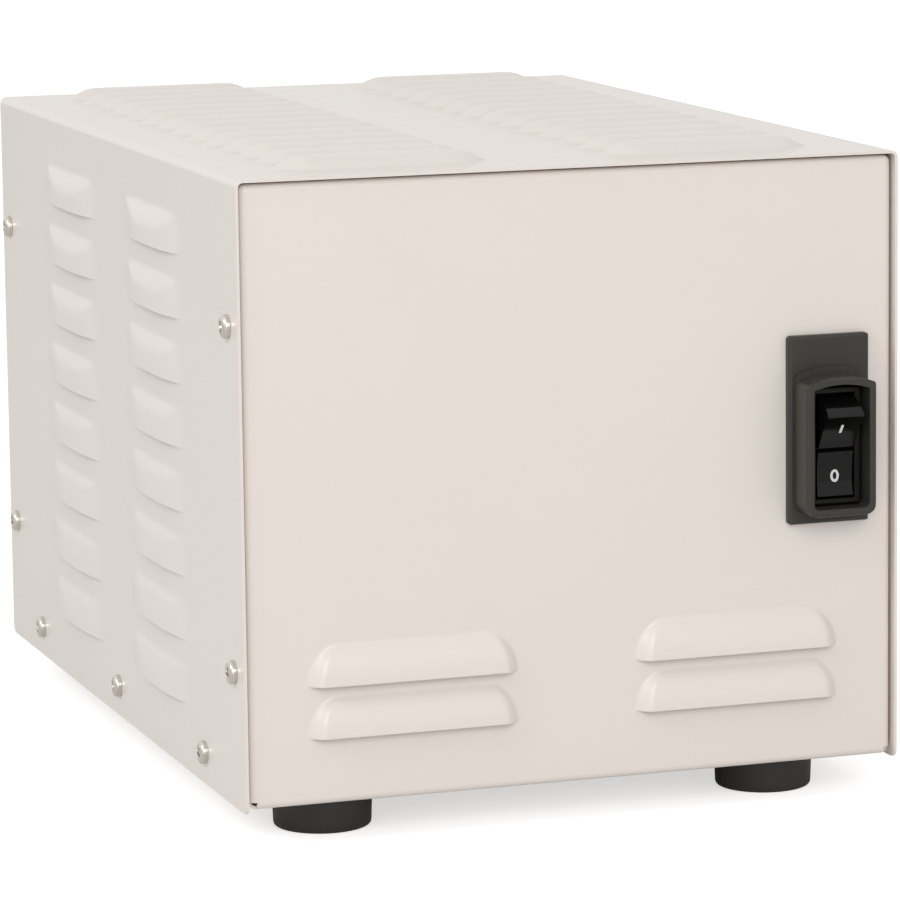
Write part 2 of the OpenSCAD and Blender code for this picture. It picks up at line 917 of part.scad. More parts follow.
module core_nuts() {
  clamp = stack_d + 2 * bracket_t;
  color("silver") placed() each_core_bolt() translate([0, clamp / 2, 0]) rotate([-90, 0, 0]) difference() {
    hex(core_head_r, core_head_h);
    translate([0, 0, -overrun]) cylinder(r = core_bolt_r + fit_gap, h = core_head_h + 2 * overrun);
  }
}

module base_bolts() {
  color("silver") placed() each_base_bolt() {
    mirror([0, 0, 1]) pan_head(base_head_r, base_head_h);
    cylinder(r = base_bolt_r, h = sheet_t + bracket_t + base_nut_h + bolt_tail);
  }
}

module base_nuts() {
  color("silver") placed() each_base_bolt() translate([0, 0, sheet_t + bracket_t]) difference() {
    hex(base_nut_r, base_nut_h);
    translate([0, 0, -overrun]) cylinder(r = base_bolt_r + fit_gap, h = base_nut_h + 2 * overrun);
  }
}

// Outlets

module outlet_slots() {
  translate([-outlet_pin_gap / 2, slot_up]) square([slot_w, neutral_slot_h], center = true);
  translate([outlet_pin_gap / 2, slot_up]) square([slot_w, hot_slot_h], center = true);
  translate([0, -ground_down]) circle(ground_r);
  translate([-ground_r, -ground_down - ground_r]) square([2 * ground_r, ground_r]);
}

// Leaves along the outer sides of the flat slots and a sleeve round the earth pin
module contact_plan(gap) {
  for (s = [-1, 1]) translate([s * (outlet_pin_gap + slot_w + contact_t) / 2, slot_up])
    square([contact_t + 2 * gap, hot_slot_h - 2 * contact_t + 2 * gap], center = true);
  translate([0, -ground_down]) circle(ground_r + contact_t + gap);
}

module outlet(i) {
  placed() outlet_place(i) difference() {
    union() {
      translate([0, -sheet_t - strap_t, 0]) forward(outlet_d - strap_t)
        round_rect(outlet_w, outlet_h, outlet_corner_r);
      for (s = [-1, 1]) translate([0, face_proud_out, s * face_offset])
        forward(face_proud_out + sheet_t + strap_t + overrun) outlet_face_outline(0);
    }
    for (s = [-1, 1]) {
      translate([0, face_proud_out + overrun, s * face_offset]) forward(slot_d + overrun) outlet_slots();
      translate([0, face_proud_out - slot_d + contact_d, s * face_offset])
        forward(contact_d) contact_plan(contact_gap);
    }
  }
}

module outlet_left() {
  color("ivory") outlet(1);
}

module outlet_middle() {
  color("ivory") outlet(0);
}

module outlet_right() {
  color("ivory") outlet(-1);
}

// Steel yoke: ears against the panel, a bridge behind the body
module outlet_strap() {
  ear = (strap_h - outlet_h) / 2 - fit_gap;
  back = outlet_d + sheet_t + fit_gap;
  difference() {
    rotate([90, 0, 90]) linear_extrude(strap_w, center = true) {
      for (s = [0, 1]) mirror([0, s]) {
        translate([-sheet_t - strap_t, strap_h / 2 - ear]) square([strap_t, ear]);
        translate([-back - strap_t, strap_h / 2 - ear]) square([back - sheet_t + strap_t, strap_t]);
      }
      translate([-back - strap_t, -outlet_h / 2 - fit_gap])
        square([strap_t, outlet_h + 2 * fit_gap]);
    }
    for (s = [-1, 1]) translate([0, -sheet_t - strap_t - overrun, s * outlet_screw_up])
      bar_y(outlet_screw_r + fit_gap, strap_t + 2 * overrun);
  }
}

module outlet_straps() {
  color("silver") placed() each_outlet() outlet_strap();
}

module outlet_contacts() {
  color("goldenrod") placed() each_outlet()
    for (s = [-1, 1]) translate([0, face_proud_out - slot_d + contact_d, s * face_offset])
      forward(contact_d) difference() {
        contact_plan(0);
        outlet_slots();
      }
}

module outlet_screws() {
  color("silver") placed() each_outlet() for (s = [-1, 1]) translate([0, 0, s * outlet_screw_up]) {
    rotate([-90, 0, 0]) pan_head(outlet_head_r, outlet_head_h);
    translate([0, -outlet_screw_l, 0]) bar_y(outlet_screw_r, outlet_screw_l);
  }
}

// Cord gland, left empty

module gland_body() {
  color("dimgray") placed() at_gland() difference() {
    union() {
      rotate([-90, 0, 0]) hex(gland_flange_r, gland_flange_h);
      translate([0, -gland_thread_in, 0])
        bar_y(gland_tube_r, gland_thread_in + gland_flange_h + gland_thread_out);
    }
    translate([0, -gland_thread_in - overrun, 0])
      bar_y(gland_bore_r, gland_thread_in + gland_flange_h + gland_thread_out + 2 * overrun);
  }
}

module gland_nut() {
  nut_r = gland_tube_r + gland_nut_wall;
  nut_y = gland_flange_h + gland_nut_gap;
  color("dimgray") placed() at_gland() translate([0, nut_y, 0]) rotate([-90, 0, 0]) difference() {
    union() {
      cylinder(r = nut_r, h = gland_nut_h - gland_lip_h);
      translate([0, 0, gland_nut_h - gland_lip_h])
        cylinder(r1 = nut_r, r2 = gland_bore_r + gland_wall, h = gland_lip_h);
    }
    translate([0, 0, -overrun])
      cylinder(r = gland_tube_r + fit_gap, h = gland_nut_h - gland_lip_h + overrun);
    cylinder(r = gland_bore_r, h = gland_nut_h + overrun);
  }
}

module gland_seal() {
  seal_y = gland_flange_h + gland_thread_out + fit_gap;
  seal_h = gland_nut_gap + gland_nut_h - gland_lip_h - gland_thread_out - 2 * fit_gap;
  color("black") placed() at_gland() translate([0, seal_y, 0]) difference() {
    bar_y(gland_tube_r, seal_h);
    translate([0, -overrun, 0]) bar_y(gland_bore_r, seal_h + 2 * overrun);
  }
}

module gland_locknut() {
  color("dimgray") placed() at_gland() translate([0, -sheet_t, 0]) rotate([90, 0, 0]) difference() {
    hex(gland_flange_r, gland_lock_h);
    translate([0, 0, -overrun])
      cylinder(r = gland_tube_r + fit_gap, h = gland_lock_h + 2 * overrun);
  }
}

// Surge board

module surge_board() {
  color("seagreen") placed() difference() {
    translate([board_x, front_mid, base_top + standoff_h])
      linear_extrude(board_t) round_rect(board_w, board_d, board_corner_r);
    each_board_post() cylinder(r = board_screw_r + fit_gap, h = standoff_h + board_t + overrun);
  }
}

module board_standoffs() {
  color("white") placed() each_board_post() difference() {
    cylinder(r = standoff_r, h = standoff_h);
    translate([0, 0, -overrun]) cylinder(r = board_screw_r + fit_gap, h = standoff_h + 2 * overrun);
  }
}

module board_screws() {
  color("silver") placed() each_board_post() {
    translate([0, 0, standoff_h + board_t]) pan_head(board_head_r, board_head_h);
    translate([0, 0, -sheet_t]) cylinder(r = board_screw_r, h = sheet_t + standoff_h + board_t);
  }
}

module at_board() {
  translate([board_x, front_mid, base_top + standoff_h + board_t]) children();
}

module varistors() {
  color("royalblue") placed() at_board() for (i = [-1 : 1])
    translate([i * varistor_gap - board_w / 4, 0, 0]) {
      translate([0, 0, varistor_r + varistor_lift])
        rotate([0, 90, 0]) cylinder(r = varistor_r, h = varistor_t, center = true);
      for (s = [-1, 1]) translate([0, s * lead_side, 0])
        cylinder(r = lead_r, h = varistor_lift + varistor_r / 2);
    }
}

module film_capacitor() {
  color("lightyellow") placed() at_board() translate([board_w / 4, 0, 0])
    linear_extrude(film_h) round_rect(film_w, film_d, film_corner_r);
}

// Terminal block and ground stud

block_hole_y = block_w / 2 - block_wall_t - block_head_r;
block_pitch = (block_w - 2 * (block_wall_t + 2 * block_head_r)) / block_ways;

module terminal_block() {
  color("black") placed() translate([block_x, front_mid, base_top]) difference() {
    union() {
      translate([-block_d / 2, -block_w / 2, 0]) cube([block_d, block_w, block_h]);
      for (i = [0 : block_ways])
        translate([-block_d / 2, (i - block_ways / 2) * block_pitch - block_wall_t / 2, 0])
          cube([block_d, block_wall_t, block_wall_h]);
    }
    for (s = [-1, 1]) translate([0, s * block_hole_y, -overrun])
      cylinder(r = board_screw_r + fit_gap, h = block_wall_h + 2 * overrun);
  }
}

module terminal_screws() {
  color("silver") placed() translate([block_x, front_mid, base_top]) {
    for (i = [0 : block_ways - 1], s = [-1, 1])
      translate([s * block_d / 4, (i + 1 / 2 - block_ways / 2) * block_pitch, block_h])
        pan_head(block_pitch / 2 - block_wall_t, block_head_h);
    for (s = [-1, 1]) translate([0, s * block_hole_y, 0]) {
      translate([0, 0, block_h]) pan_head(board_head_r, board_head_h);
      translate([0, 0, -sheet_t]) cylinder(r = board_screw_r, h = block_h + sheet_t);
    }
  }
}

module ground_stud() {
  color("goldenrod") placed() translate([stud_x, stud_y, base_lift]) {
    mirror([0, 0, 1]) pan_head(stud_nut_r, stud_nut_h);
    cylinder(r = stud_r, h = stud_l);
  }
}

module ground_nuts() {
  color("silver") placed() translate([stud_x, stud_y, base_top])
    for (z = [0, 2 * stud_nut_h]) translate([0, 0, z]) difference() {
      hex(stud_nut_r, stud_nut_h);
      translate([0, 0, -overrun]) cylinder(r = stud_r + fit_gap, h = stud_nut_h + 2 * overrun);
    }
}

cover();
chassis();
cover_screws();
feet();
foot_screws();
foot_nuts();
switch_guard();
switch_body();
switch_rocker();
switch_terminals();
core_e_stack();
core_i_stack();
bobbin();
primary_winding();
shield_foil();
secondary_winding();
coil_wrap();
thermal_cutout();
bracket_front_low();
bracket_rear_low();
bracket_front_top();
bracket_rear_top();
core_bolts();
core_nuts();
base_bolts();
base_nuts();
outlet_left();
outlet_middle();
outlet_right();
outlet_straps();
outlet_contacts();
outlet_screws();
gland_body();
gland_seal();
gland_nut();
gland_locknut();
surge_board();
board_standoffs();
board_screws();
varistors();
film_capacitor();
terminal_block();
terminal_screws();
ground_stud();
ground_nuts();
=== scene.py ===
import json
import math
import bpy
import bmesh
from mathutils import Matrix, Vector


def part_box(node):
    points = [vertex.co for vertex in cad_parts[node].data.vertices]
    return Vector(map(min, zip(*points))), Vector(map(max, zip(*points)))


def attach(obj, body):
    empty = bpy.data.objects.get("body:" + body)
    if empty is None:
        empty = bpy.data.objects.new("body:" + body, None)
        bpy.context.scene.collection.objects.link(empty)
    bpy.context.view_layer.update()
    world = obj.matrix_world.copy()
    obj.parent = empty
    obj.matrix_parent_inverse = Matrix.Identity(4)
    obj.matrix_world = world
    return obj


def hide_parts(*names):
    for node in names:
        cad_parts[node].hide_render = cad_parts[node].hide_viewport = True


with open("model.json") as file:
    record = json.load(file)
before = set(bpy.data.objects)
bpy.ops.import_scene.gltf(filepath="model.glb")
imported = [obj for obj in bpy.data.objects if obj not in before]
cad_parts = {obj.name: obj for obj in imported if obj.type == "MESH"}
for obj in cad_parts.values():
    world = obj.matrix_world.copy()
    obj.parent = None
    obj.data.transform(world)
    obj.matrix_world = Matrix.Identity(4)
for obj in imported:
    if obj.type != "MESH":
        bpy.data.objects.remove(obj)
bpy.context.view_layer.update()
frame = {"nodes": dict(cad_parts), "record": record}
scene = bpy.context.scene
mm = 0.001

# Sheet-metal sizes in mm. Places count from the cover's front edge (y) and lower edge (z),
# and x from the middle
case = {
    "width": 216, "depth": 306, "height": 195, "sheet": 0.95, "coverBend": 2.4, "chassisBend": 2.4,
    "bendSteps": 8, "cornerRadius": 3, "recess": 1.4, "slip": 0.6, "baseLift": 1.1, "flange": 18,
    "edgeRounding": 0.22,
}
caseOrigin = Vector((0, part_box("cover")[0][1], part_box("cover")[0][2]))


def inRow(x, y, z):
    return caseOrigin + Vector((x, y, z)) * mm


mergeGap = 0.000004  # corners nearer than this, in metres, are one


def written(work, name, recalculate=True):
    # The edited faces as a mesh, pointing outwards
    if recalculate:
        bmesh.ops.recalc_face_normals(work, faces=work.faces)
    mesh = bpy.data.meshes.new(name)
    work.to_mesh(mesh)
    work.free()
    return mesh


# Small helpers for node trees

class Wire:
    # A socket that plain Python signs can add, scale and compare, from either side
    def __init__(self, net, socket):
        self.net, self.socket = net, socket

    def maths(self, operation, *others):
        return self.net.add("ShaderNodeMath", {"operation": operation}, dict(enumerate((self,) + others)))

    def __add__(self, other): return self.maths("ADD", other)
    def __radd__(self, other): return self.maths("ADD", other)
    def __sub__(self, other): return self.maths("SUBTRACT", other)
    def __rsub__(self, other): return self.net.number(other).maths("SUBTRACT", self)
    def __mul__(self, other): return self.maths("MULTIPLY", other)
    def __rmul__(self, other): return self.maths("MULTIPLY", other)
    def __truediv__(self, other): return self.maths("DIVIDE", other)
    def __pow__(self, other): return self.maths("POWER", other)
    def __gt__(self, other): return self.maths("GREATER_THAN", other)
    def __abs__(self): return self.maths("ABSOLUTE")


class Net:
    # Adds nodes to one tree: the type, its settings, then what its sockets hold
    def __init__(self, tree):
        self.tree = tree

    def add(self, kind, settings=None, inputs=None, out=None):
        node = self.tree.nodes.new(kind)
        for key, value in (settings or {}).items():
            setattr(node, key, value)
        for key, value in (inputs or {}).items():
            self.fill(self.pick(node.inputs, key), value)
        return Wire(self, self.pick(node.outputs, out if out is not None else 0))

    def pick(self, sockets, key):
        if isinstance(key, int):
            return [s for s in sockets if s.enabled][key]
        named = [s for s in sockets if s.enabled and s.name == key]
        return named[0] if named else next(s for s in sockets if s.identifier == key)

    def fill(self, socket, value):
        if isinstance(value, Wire):
            self.tree.links.new(value.socket, socket)
        else:
            socket.default_value = value

    def number(self, value):
        return self.add("ShaderNodeMath", {"operation": "ADD"}, {0: value, 1: 0.0})


waveTurn = 20  # radians that a wave texture of scale 1 turns in one metre


class Finish(Net):
    # One material: its shader's constants are set on the shader itself
    def __init__(self, name, **constants):
        self.material = bpy.data.materials.new(name)
        self.material.use_nodes = True
        super().__init__(self.material.node_tree)
        self.shader = self.tree.nodes["Principled BSDF"]
        for key, value in constants.items():
            self.shader.inputs[key.replace("_", " ")].default_value = value

    def place(self):
        return self.add("ShaderNodeTexCoord", None, None, "Object")

    def noise(self, scale, detail=2.0, roughness=0.5, stretch=(1, 1, 1)):
        where = self.add("ShaderNodeMapping", None, {"Vector": self.place(), "Scale": stretch})
        return self.add("ShaderNodeTexNoise", None,
                        {"Vector": where, "Scale": scale, "Detail": detail, "Roughness": roughness}, 0)

    def bands(self, axis, pitch, distortion=0.0):
        # Even ridges, one each pitch metres
        scale = 2 * math.pi / (waveTurn * pitch)
        return self.add("ShaderNodeTexWave", {"wave_type": "BANDS", "bands_direction": axis},
                        {"Vector": self.place(), "Scale": scale, "Distortion": distortion, "Detail": 0.0}, 1)

    def mix(self, factor, first, second):
        return self.add("ShaderNodeMix", {"data_type": "RGBA"},
                        {"Factor_Float": factor, "A_Color": self.rgba(first), "B_Color": self.rgba(second)},
                        "Result_Color")

    def rgba(self, colour):
        return colour if isinstance(colour, Wire) else tuple(colour) + (1,)

    def bump(self, height, distance):
        return self.add("ShaderNodeBump", None, {"Height": height, "Distance": distance, "Strength": 1.0})

    def feed(self, name, wire):
        self.tree.links.new(wire.socket, self.shader.inputs[name])
        return self


def shade(colour, factor):
    return tuple(min(1, c * factor) for c in colour)


# Finishes

paint = {
    "colour": (0.775, 0.714, 0.665), "roughness": 0.36, "peelSize": 0.0013, "peelDepth": 0.00003,
    "coat": 0.22, "coatSwing": 0.2, "coatRoughness": 0.12,
    "cloudScale": 22, "cloudShades": (0.985, 1.012), "cloudSwing": 0.10,
}


def paintFinish(name):
    # Powder paint: a fine orange peel and faint clouds
    f = Finish(name, Coat_Roughness=paint["coatRoughness"], Specular_IOR_Level=0.5)
    peel = f.noise(1 / paint["peelSize"], 1.5, 0.4)
    cloud = f.noise(paint["cloudScale"], 3.0, 0.6)
    f.feed("Base Color", f.mix(cloud, *[shade(paint["colour"], s) for s in paint["cloudShades"]]))
    f.feed("Roughness", paint["roughness"] + (cloud - 0.5) * paint["cloudSwing"])
    f.feed("Coat Weight", paint["coat"] + (peel - 0.5) * paint["coatSwing"])
    return f.feed("Normal", f.bump(peel, paint["peelDepth"])).material


moulding = {
    "coatRoughness": 0.08, "grainSwing": 0.12,
    "cloudScale": 45, "cloudShades": (0.86, 1.14), "cloudSwing": 0.08,
}


def mouldedFinish(name, colour, roughness, grainSize, grainDepth, coat=0.0, gloss=0.5):
    # Moulded plastic or rubber with a fine spark grain
    f = Finish(name, Coat_Weight=coat, Coat_Roughness=moulding["coatRoughness"], Specular_IOR_Level=gloss)
    grain = f.noise(1 / grainSize, 3.0, 0.65)
    cloud = f.noise(moulding["cloudScale"], 2.0)
    f.feed("Base Color", f.mix(cloud, *[shade(colour, s) for s in moulding["cloudShades"]]))
    uneven = roughness + (grain - 0.5) * moulding["grainSwing"]
    f.feed("Roughness", uneven + (cloud - 0.5) * moulding["cloudSwing"])
    return f.feed("Normal", f.bump(grain, grainDepth)).material


plating = {
    "streakScale": 700, "streakStretch": (1, 1, 12), "streakSwing": 0.14, "streakDepth": 0.000006,
    "cloudScale": 120, "cloudShades": (0.9, 1.06), "spotsAbove": 0.97,
}


def platedFinish(name, colour, roughness):
    # Plated metal with faint streaks and spots
    f = Finish(name, Specular_IOR_Level=0.5)
    streaks = f.noise(plating["streakScale"], 2.0, 0.6, plating["streakStretch"])
    cloud = f.noise(plating["cloudScale"], 2.0)
    f.feed("Base Color", f.mix(cloud, *[shade(colour, s) for s in plating["cloudShades"]]))
    f.feed("Metallic", 1.0 - (cloud > plating["spotsAbove"]))
    f.feed("Roughness", roughness + (streaks - 0.5) * plating["streakSwing"])
    return f.feed("Normal", f.bump(streaks, plating["streakDepth"])).material


laying = {
    "waver": 0.15, "ridgeShare": 0.8, "cloudShare": 0.2,
    "cloudScale": 60, "cloudSwing": 0.15, "metalSwing": 0.1,
}


def laidFinish(name, light, dark, axis, pitch, depth, roughness, metallic=0.0):
    # Layers or turns laid side by side: laminations, wire, tape
    f = Finish(name)
    ridges = f.bands(axis, pitch, laying["waver"])
    cloud = f.noise(laying["cloudScale"], 3.0)
    f.feed("Base Color", f.mix(ridges * laying["ridgeShare"] + cloud * laying["cloudShare"], dark, light))
    f.feed("Metallic", metallic + (cloud - 0.5) * laying["metalSwing"] * metallic)
    f.feed("Roughness", roughness + (cloud - 0.5) * laying["cloudSwing"])
    return f.feed("Normal", f.bump(ridges, depth)).material


# Colour, roughness, the grain's size and depth in metres, then coat and gloss where the piece has its own
mouldedLooks = {
    "foot_rubber": ((0.026, 0.025, 0.023), 0.55, 0.0006, 0.00002),
    "guard_plastic": ((0.036, 0.034, 0.029), 0.46, 0.00045, 0.00002, 0.0, 0.35),
    "switch_plastic": ((0.008, 0.008, 0.007), 0.40, 0.0004, 0.00001, 0.0, 0.2),
    "rocker_plastic": ((0.003, 0.003, 0.003), 0.18, 0.0012, 0.000004, 0.35, 0.1),
    "bobbin_plastic": ((0.74, 0.69, 0.54), 0.45, 0.0005, 0.00001),
    "outlet_plastic": ((0.74, 0.70, 0.61), 0.30, 0.0008, 0.000006, 0.1),
    "gland_plastic": ((0.028, 0.028, 0.028), 0.45, 0.0005, 0.00001),
    "varistor_coat": ((0.05, 0.12, 0.45), 0.25, 0.0015, 0.00002, 0.2),
    "capacitor_case": ((0.70, 0.62, 0.16), 0.32, 0.001, 0.00001),
    "mark_white": ((0.78, 0.78, 0.76), 0.4, 0.0006, 0.000004),
}
# Colour and roughness
platedLooks = {
    "bright_steel": ((0.66, 0.62, 0.56), 0.18),
    "zinc_steel": ((0.62, 0.62, 0.60), 0.36),
    "terminal_brass": ((0.72, 0.58, 0.30), 0.32),
}
# Light and dark colour, direction, pitch and depth in metres, roughness, then how metallic
laidLooks = {
    "core_steel": ((0.16, 0.16, 0.17), (0.03, 0.03, 0.035), "Y", 0.0005, 0.00004, 0.5),
    "winding_wire": ((0.62, 0.25, 0.10), (0.20, 0.07, 0.03), "Z", 0.0018, 0.0004, 0.3, 0.7),
    "coil_tape": ((0.68, 0.60, 0.40), (0.60, 0.50, 0.32), "Z", 0.019, 0.00015, 0.45),
    "board_laminate": ((0.05, 0.21, 0.11), (0.04, 0.17, 0.09), "X", 0.0012, 0.00001, 0.4),
}
finishes = {"case_paint": paintFinish("case_paint")}
for make, looks in ((mouldedFinish, mouldedLooks), (platedFinish, platedLooks), (laidFinish, laidLooks)):
    finishes.update({name: make(name, *look) for name, look in looks.items()})
print("finishes made:", len(finishes))


# Turning a mesh into a piece of the object

def addPiece(name, mesh, body, slot, *nodes):
    piece = bpy.data.objects.new(name, mesh)
    scene.collection.objects.link(piece)
    mesh.materials.clear()
    mesh.materials.append(finishes[slot])
    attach(piece, body)
    if nodes:
        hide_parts(*nodes)
    return piece


def evaluated(obj):
    # The object's mesh with its modifiers worked in; the object itself is dropped
    bpy.context.view_layer.update()
    mesh = bpy.data.meshes.new_from_object(obj.evaluated_get(bpy.context.evaluated_depsgraph_get()))
    bpy.data.objects.remove(obj)
    return mesh


def looseObject(name, mesh):
    obj = bpy.data.objects.new(name, mesh)
    scene.collection.objects.link(obj)
    return obj


def softened(mesh, width, angle, segments=2):
    # Rounds the hard edges and lets the flats keep true normals
    obj = looseObject("softening", mesh)
    for polygon in mesh.polygons:
        polygon.use_smooth = True
    bevel = obj.modifiers.new("edges", "BEVEL")
    bevel.width = width * mm
    bevel.segments = segments
    bevel.limit_method = "ANGLE"
    bevel.angle_limit = math.radians(angle)
    weighted = obj.modifiers.new("normals", "WEIGHTED_NORMAL")
    weighted.keep_sharp = False
    weighted.weight = 60  # a little above even, for the large faces
    return evaluated(obj)


flatAngle = 0.6  # triangles that turn by fewer degrees are one face


def cadCopy(node):
    # The node's own shape with its triangles joined up into whole faces
    mesh = frame["nodes"][node].data.copy()
    work = bmesh.new()
    work.from_mesh(mesh)
    bmesh.ops.remove_doubles(work, verts=work.verts, dist=mergeGap)
    bmesh.ops.dissolve_limit(work, angle_limit=math.radians(flatAngle), verts=work.verts, edges=work.edges)
    work.to_mesh(mesh)
    work.free()
    return mesh


# Geometry trees

def newTree(name, inputs):
    # A tree with these named inputs; gives the adder of its nodes and a wire from each input
    tree = bpy.data.node_groups.new(name, "GeometryNodeTree")
    for label, kind in [("Geometry", "Geometry")] + inputs:
        tree.interface.new_socket(label, in_out="INPUT", socket_type="NodeSocket" + kind)
    tree.interface.new_socket("Geometry", in_out="OUTPUT", socket_type="NodeSocketGeometry")
    net = Net(tree)
    return net, {s.name: Wire(net, s) for s in tree.nodes.new("NodeGroupInput").outputs}


def endTree(net, geometry, material):
    done = net.add("GeometryNodeSetMaterial", None, {"Geometry": geometry, "Material": material})
    net.fill(net.tree.nodes.new("NodeGroupOutput").inputs[0], done)
    return net.tree


def runTree(tree, name, inputs, mesh=None):
    # The plain mesh that a tree makes from these named inputs
    obj = looseObject(name, mesh or bpy.data.meshes.new(name))
    modifier = obj.modifiers.new("tree", "NODES")
    modifier.node_group = tree
    for item in tree.interface.items_tree:
        if item.in_out == "INPUT" and item.name in inputs:
            modifier[item.identifier] = inputs[item.name]
    return evaluated(obj)


# Louvres: a tree presses one bank out of a flat sheet, each louvre a shallow arc with steeper, rounded ends

louvre = {
    "length": 67.5, "rise": 12.5, "toe": 0.4, "shoulder": 0.5, "margin": 3.0, "columnGap": 107,
    "topRows": 14, "topPitch": 19.8, "sideRows": 8, "sideLow": 21.8, "sidePitch": 20.48,
    "frontRows": 2, "frontLow": 22.2, "frontPitch": 16.2,
    # The sides' louvres are one low arch from end to end, the front's have short, steep ends
    "top": {"bulge": 3.6, "slope": 8.5, "corner": 12.5},
    "side": {"bulge": 2.8, "slope": 27.0, "corner": 31.5},
    "front": {"bulge": 3.6, "slope": 3.8, "corner": 10.5},
}
# Grid steps of one louvre at fineness 1: half the straight run, out to an end, up the dome, over a whole row.
# Then, in mm, how far the dome's steps go past its rise, and how near rows' corners are one.
louvreGrid = {"straight": 2, "across": 16, "dome": 12, "along": 14, "past": 1.2, "join": 0.002}


def louvreTree():
    sizes = ("Length", "Rise", "Bulge", "Slope", "Corner", "Toe", "Shoulder", "Margin", "Pitch")
    net, value = newTree("louvreBank", [(name, "Float") for name in sizes]
                         + [("Rows", "Int"), ("Fineness", "Int"), ("Material", "Material")])
    length, rise, bulge, slope, corner, toe, shoulder, margin, pitch = (value[name] for name in sizes)
    fine = value["Fineness"]

    # A square of index steps, then each step gets its real place: few on the straight run, many at the ends
    straightSteps, acrossSteps = fine * louvreGrid["straight"], fine * louvreGrid["across"]
    domeSteps, alongSteps = fine * louvreGrid["dome"], fine * louvreGrid["along"]
    cell = net.add("GeometryNodeMeshGrid", None,
                   {"Size X": acrossSteps * 2, "Size Y": alongSteps,
                    "Vertices X": acrossSteps * 2 + 1, "Vertices Y": alongSteps + 1}, "Mesh")
    split = net.tree.nodes.new("ShaderNodeSeparateXYZ")
    net.fill(split.inputs[0], net.add("GeometryNodeInputPosition"))
    stepX, stepY = Wire(net, split.outputs[0]), Wire(net, split.outputs[1])

    def spread(step, first, last, reach):
        # Turns steps first to last into millimetres from 0 to reach
        return net.add("ShaderNodeMapRange", None, {0: step, 1: first, 2: last, 3: 0.0, 4: reach})

    straight = length / 2 - corner
    near = spread(abs(stepX), 0.0, straightSteps, straight)
    far = spread(abs(stepX), straightSteps, acrossSteps, corner + margin)
    placeX = (near + far) * stepX.maths("SIGN")
    row = stepY + alongSteps / 2
    domeEnd = rise + louvreGrid["past"]
    placeY = spread(row, 0.0, domeSteps, domeEnd) + spread(row, domeSteps, alongSteps, pitch - domeEnd)

    # The lower of the arc and the rounded ends, softly joined, with a soft toe where it leaves the flat
    arcRadius = (rise * rise + bulge * bulge) / (bulge * 2)
    arc = (arcRadius * arcRadius - placeY * placeY).maths("MAXIMUM", 0.0) ** 0.5 - (arcRadius - bulge)
    sunk = (slope * (corner * 2 - slope) - bulge * bulge) / (bulge * 2)
    sideways = (abs(placeX) - straight).maths("MAXIMUM", 0.0)
    upward = placeY * (corner / corner.maths("MAXIMUM", rise))
    reach = corner * corner + sunk * sunk - sideways * sideways - upward * upward
    ends = reach.maths("MAXIMUM", 0.0) ** 0.5 - sunk
    soft = (shoulder - abs(arc - ends)).maths("MAXIMUM", 0.0)
    cap = arc.maths("MINIMUM", ends) - soft * soft / (shoulder * 4)
    blend = (toe - abs(cap)).maths("MAXIMUM", 0.0)
    height = cap.maths("MAXIMUM", 0.0) + blend * blend / (toe * 4)
    place = net.add("ShaderNodeCombineXYZ", None, {0: placeX, 1: placeY, 2: height})
    pressed = net.add("GeometryNodeSetPosition", None, {"Geometry": cell, "Position": place})

    # One copy for each row, then one mesh whose flats are joined and whose slits stay open
    rows = net.add("GeometryNodeMeshLine", {"mode": "OFFSET"},
                   {"Count": value["Rows"], "Offset": net.add("ShaderNodeCombineXYZ", None, {1: pitch})})
    copies = net.add("GeometryNodeInstanceOnPoints", None, {"Points": rows, "Instance": pressed})
    real = net.add("GeometryNodeRealizeInstances", None, {"Geometry": copies})
    joined = net.add("GeometryNodeMergeByDistance", None, {"Geometry": real, "Distance": louvreGrid["join"]})
    return endTree(net, joined, value["Material"])


bankTree = louvreTree()


def louvreBank(side, fineness):
    rows, pitch = louvre[side + "Rows"], louvre[side + "Pitch"]
    inputs = {"Pitch": pitch, "Rows": rows, "Fineness": fineness, "Material": finishes["case_paint"]}
    inputs.update({name.title(): louvre[name] for name in ("length", "rise", "toe", "shoulder", "margin")})
    inputs.update({name.title(): size for name, size in louvre[side].items()})
    mesh = runTree(bankTree, "bank", inputs)
    return {
        "points": [v.co.copy() for v in mesh.vertices], "faces": [tuple(p.vertices) for p in mesh.polygons],
        "half": louvre["length"] / 2 + louvre["margin"], "run": rows * pitch,
    }


def quarterTurn():
    return [math.pi / 2 * i / case["bendSteps"] for i in range(case["bendSteps"] + 1)]


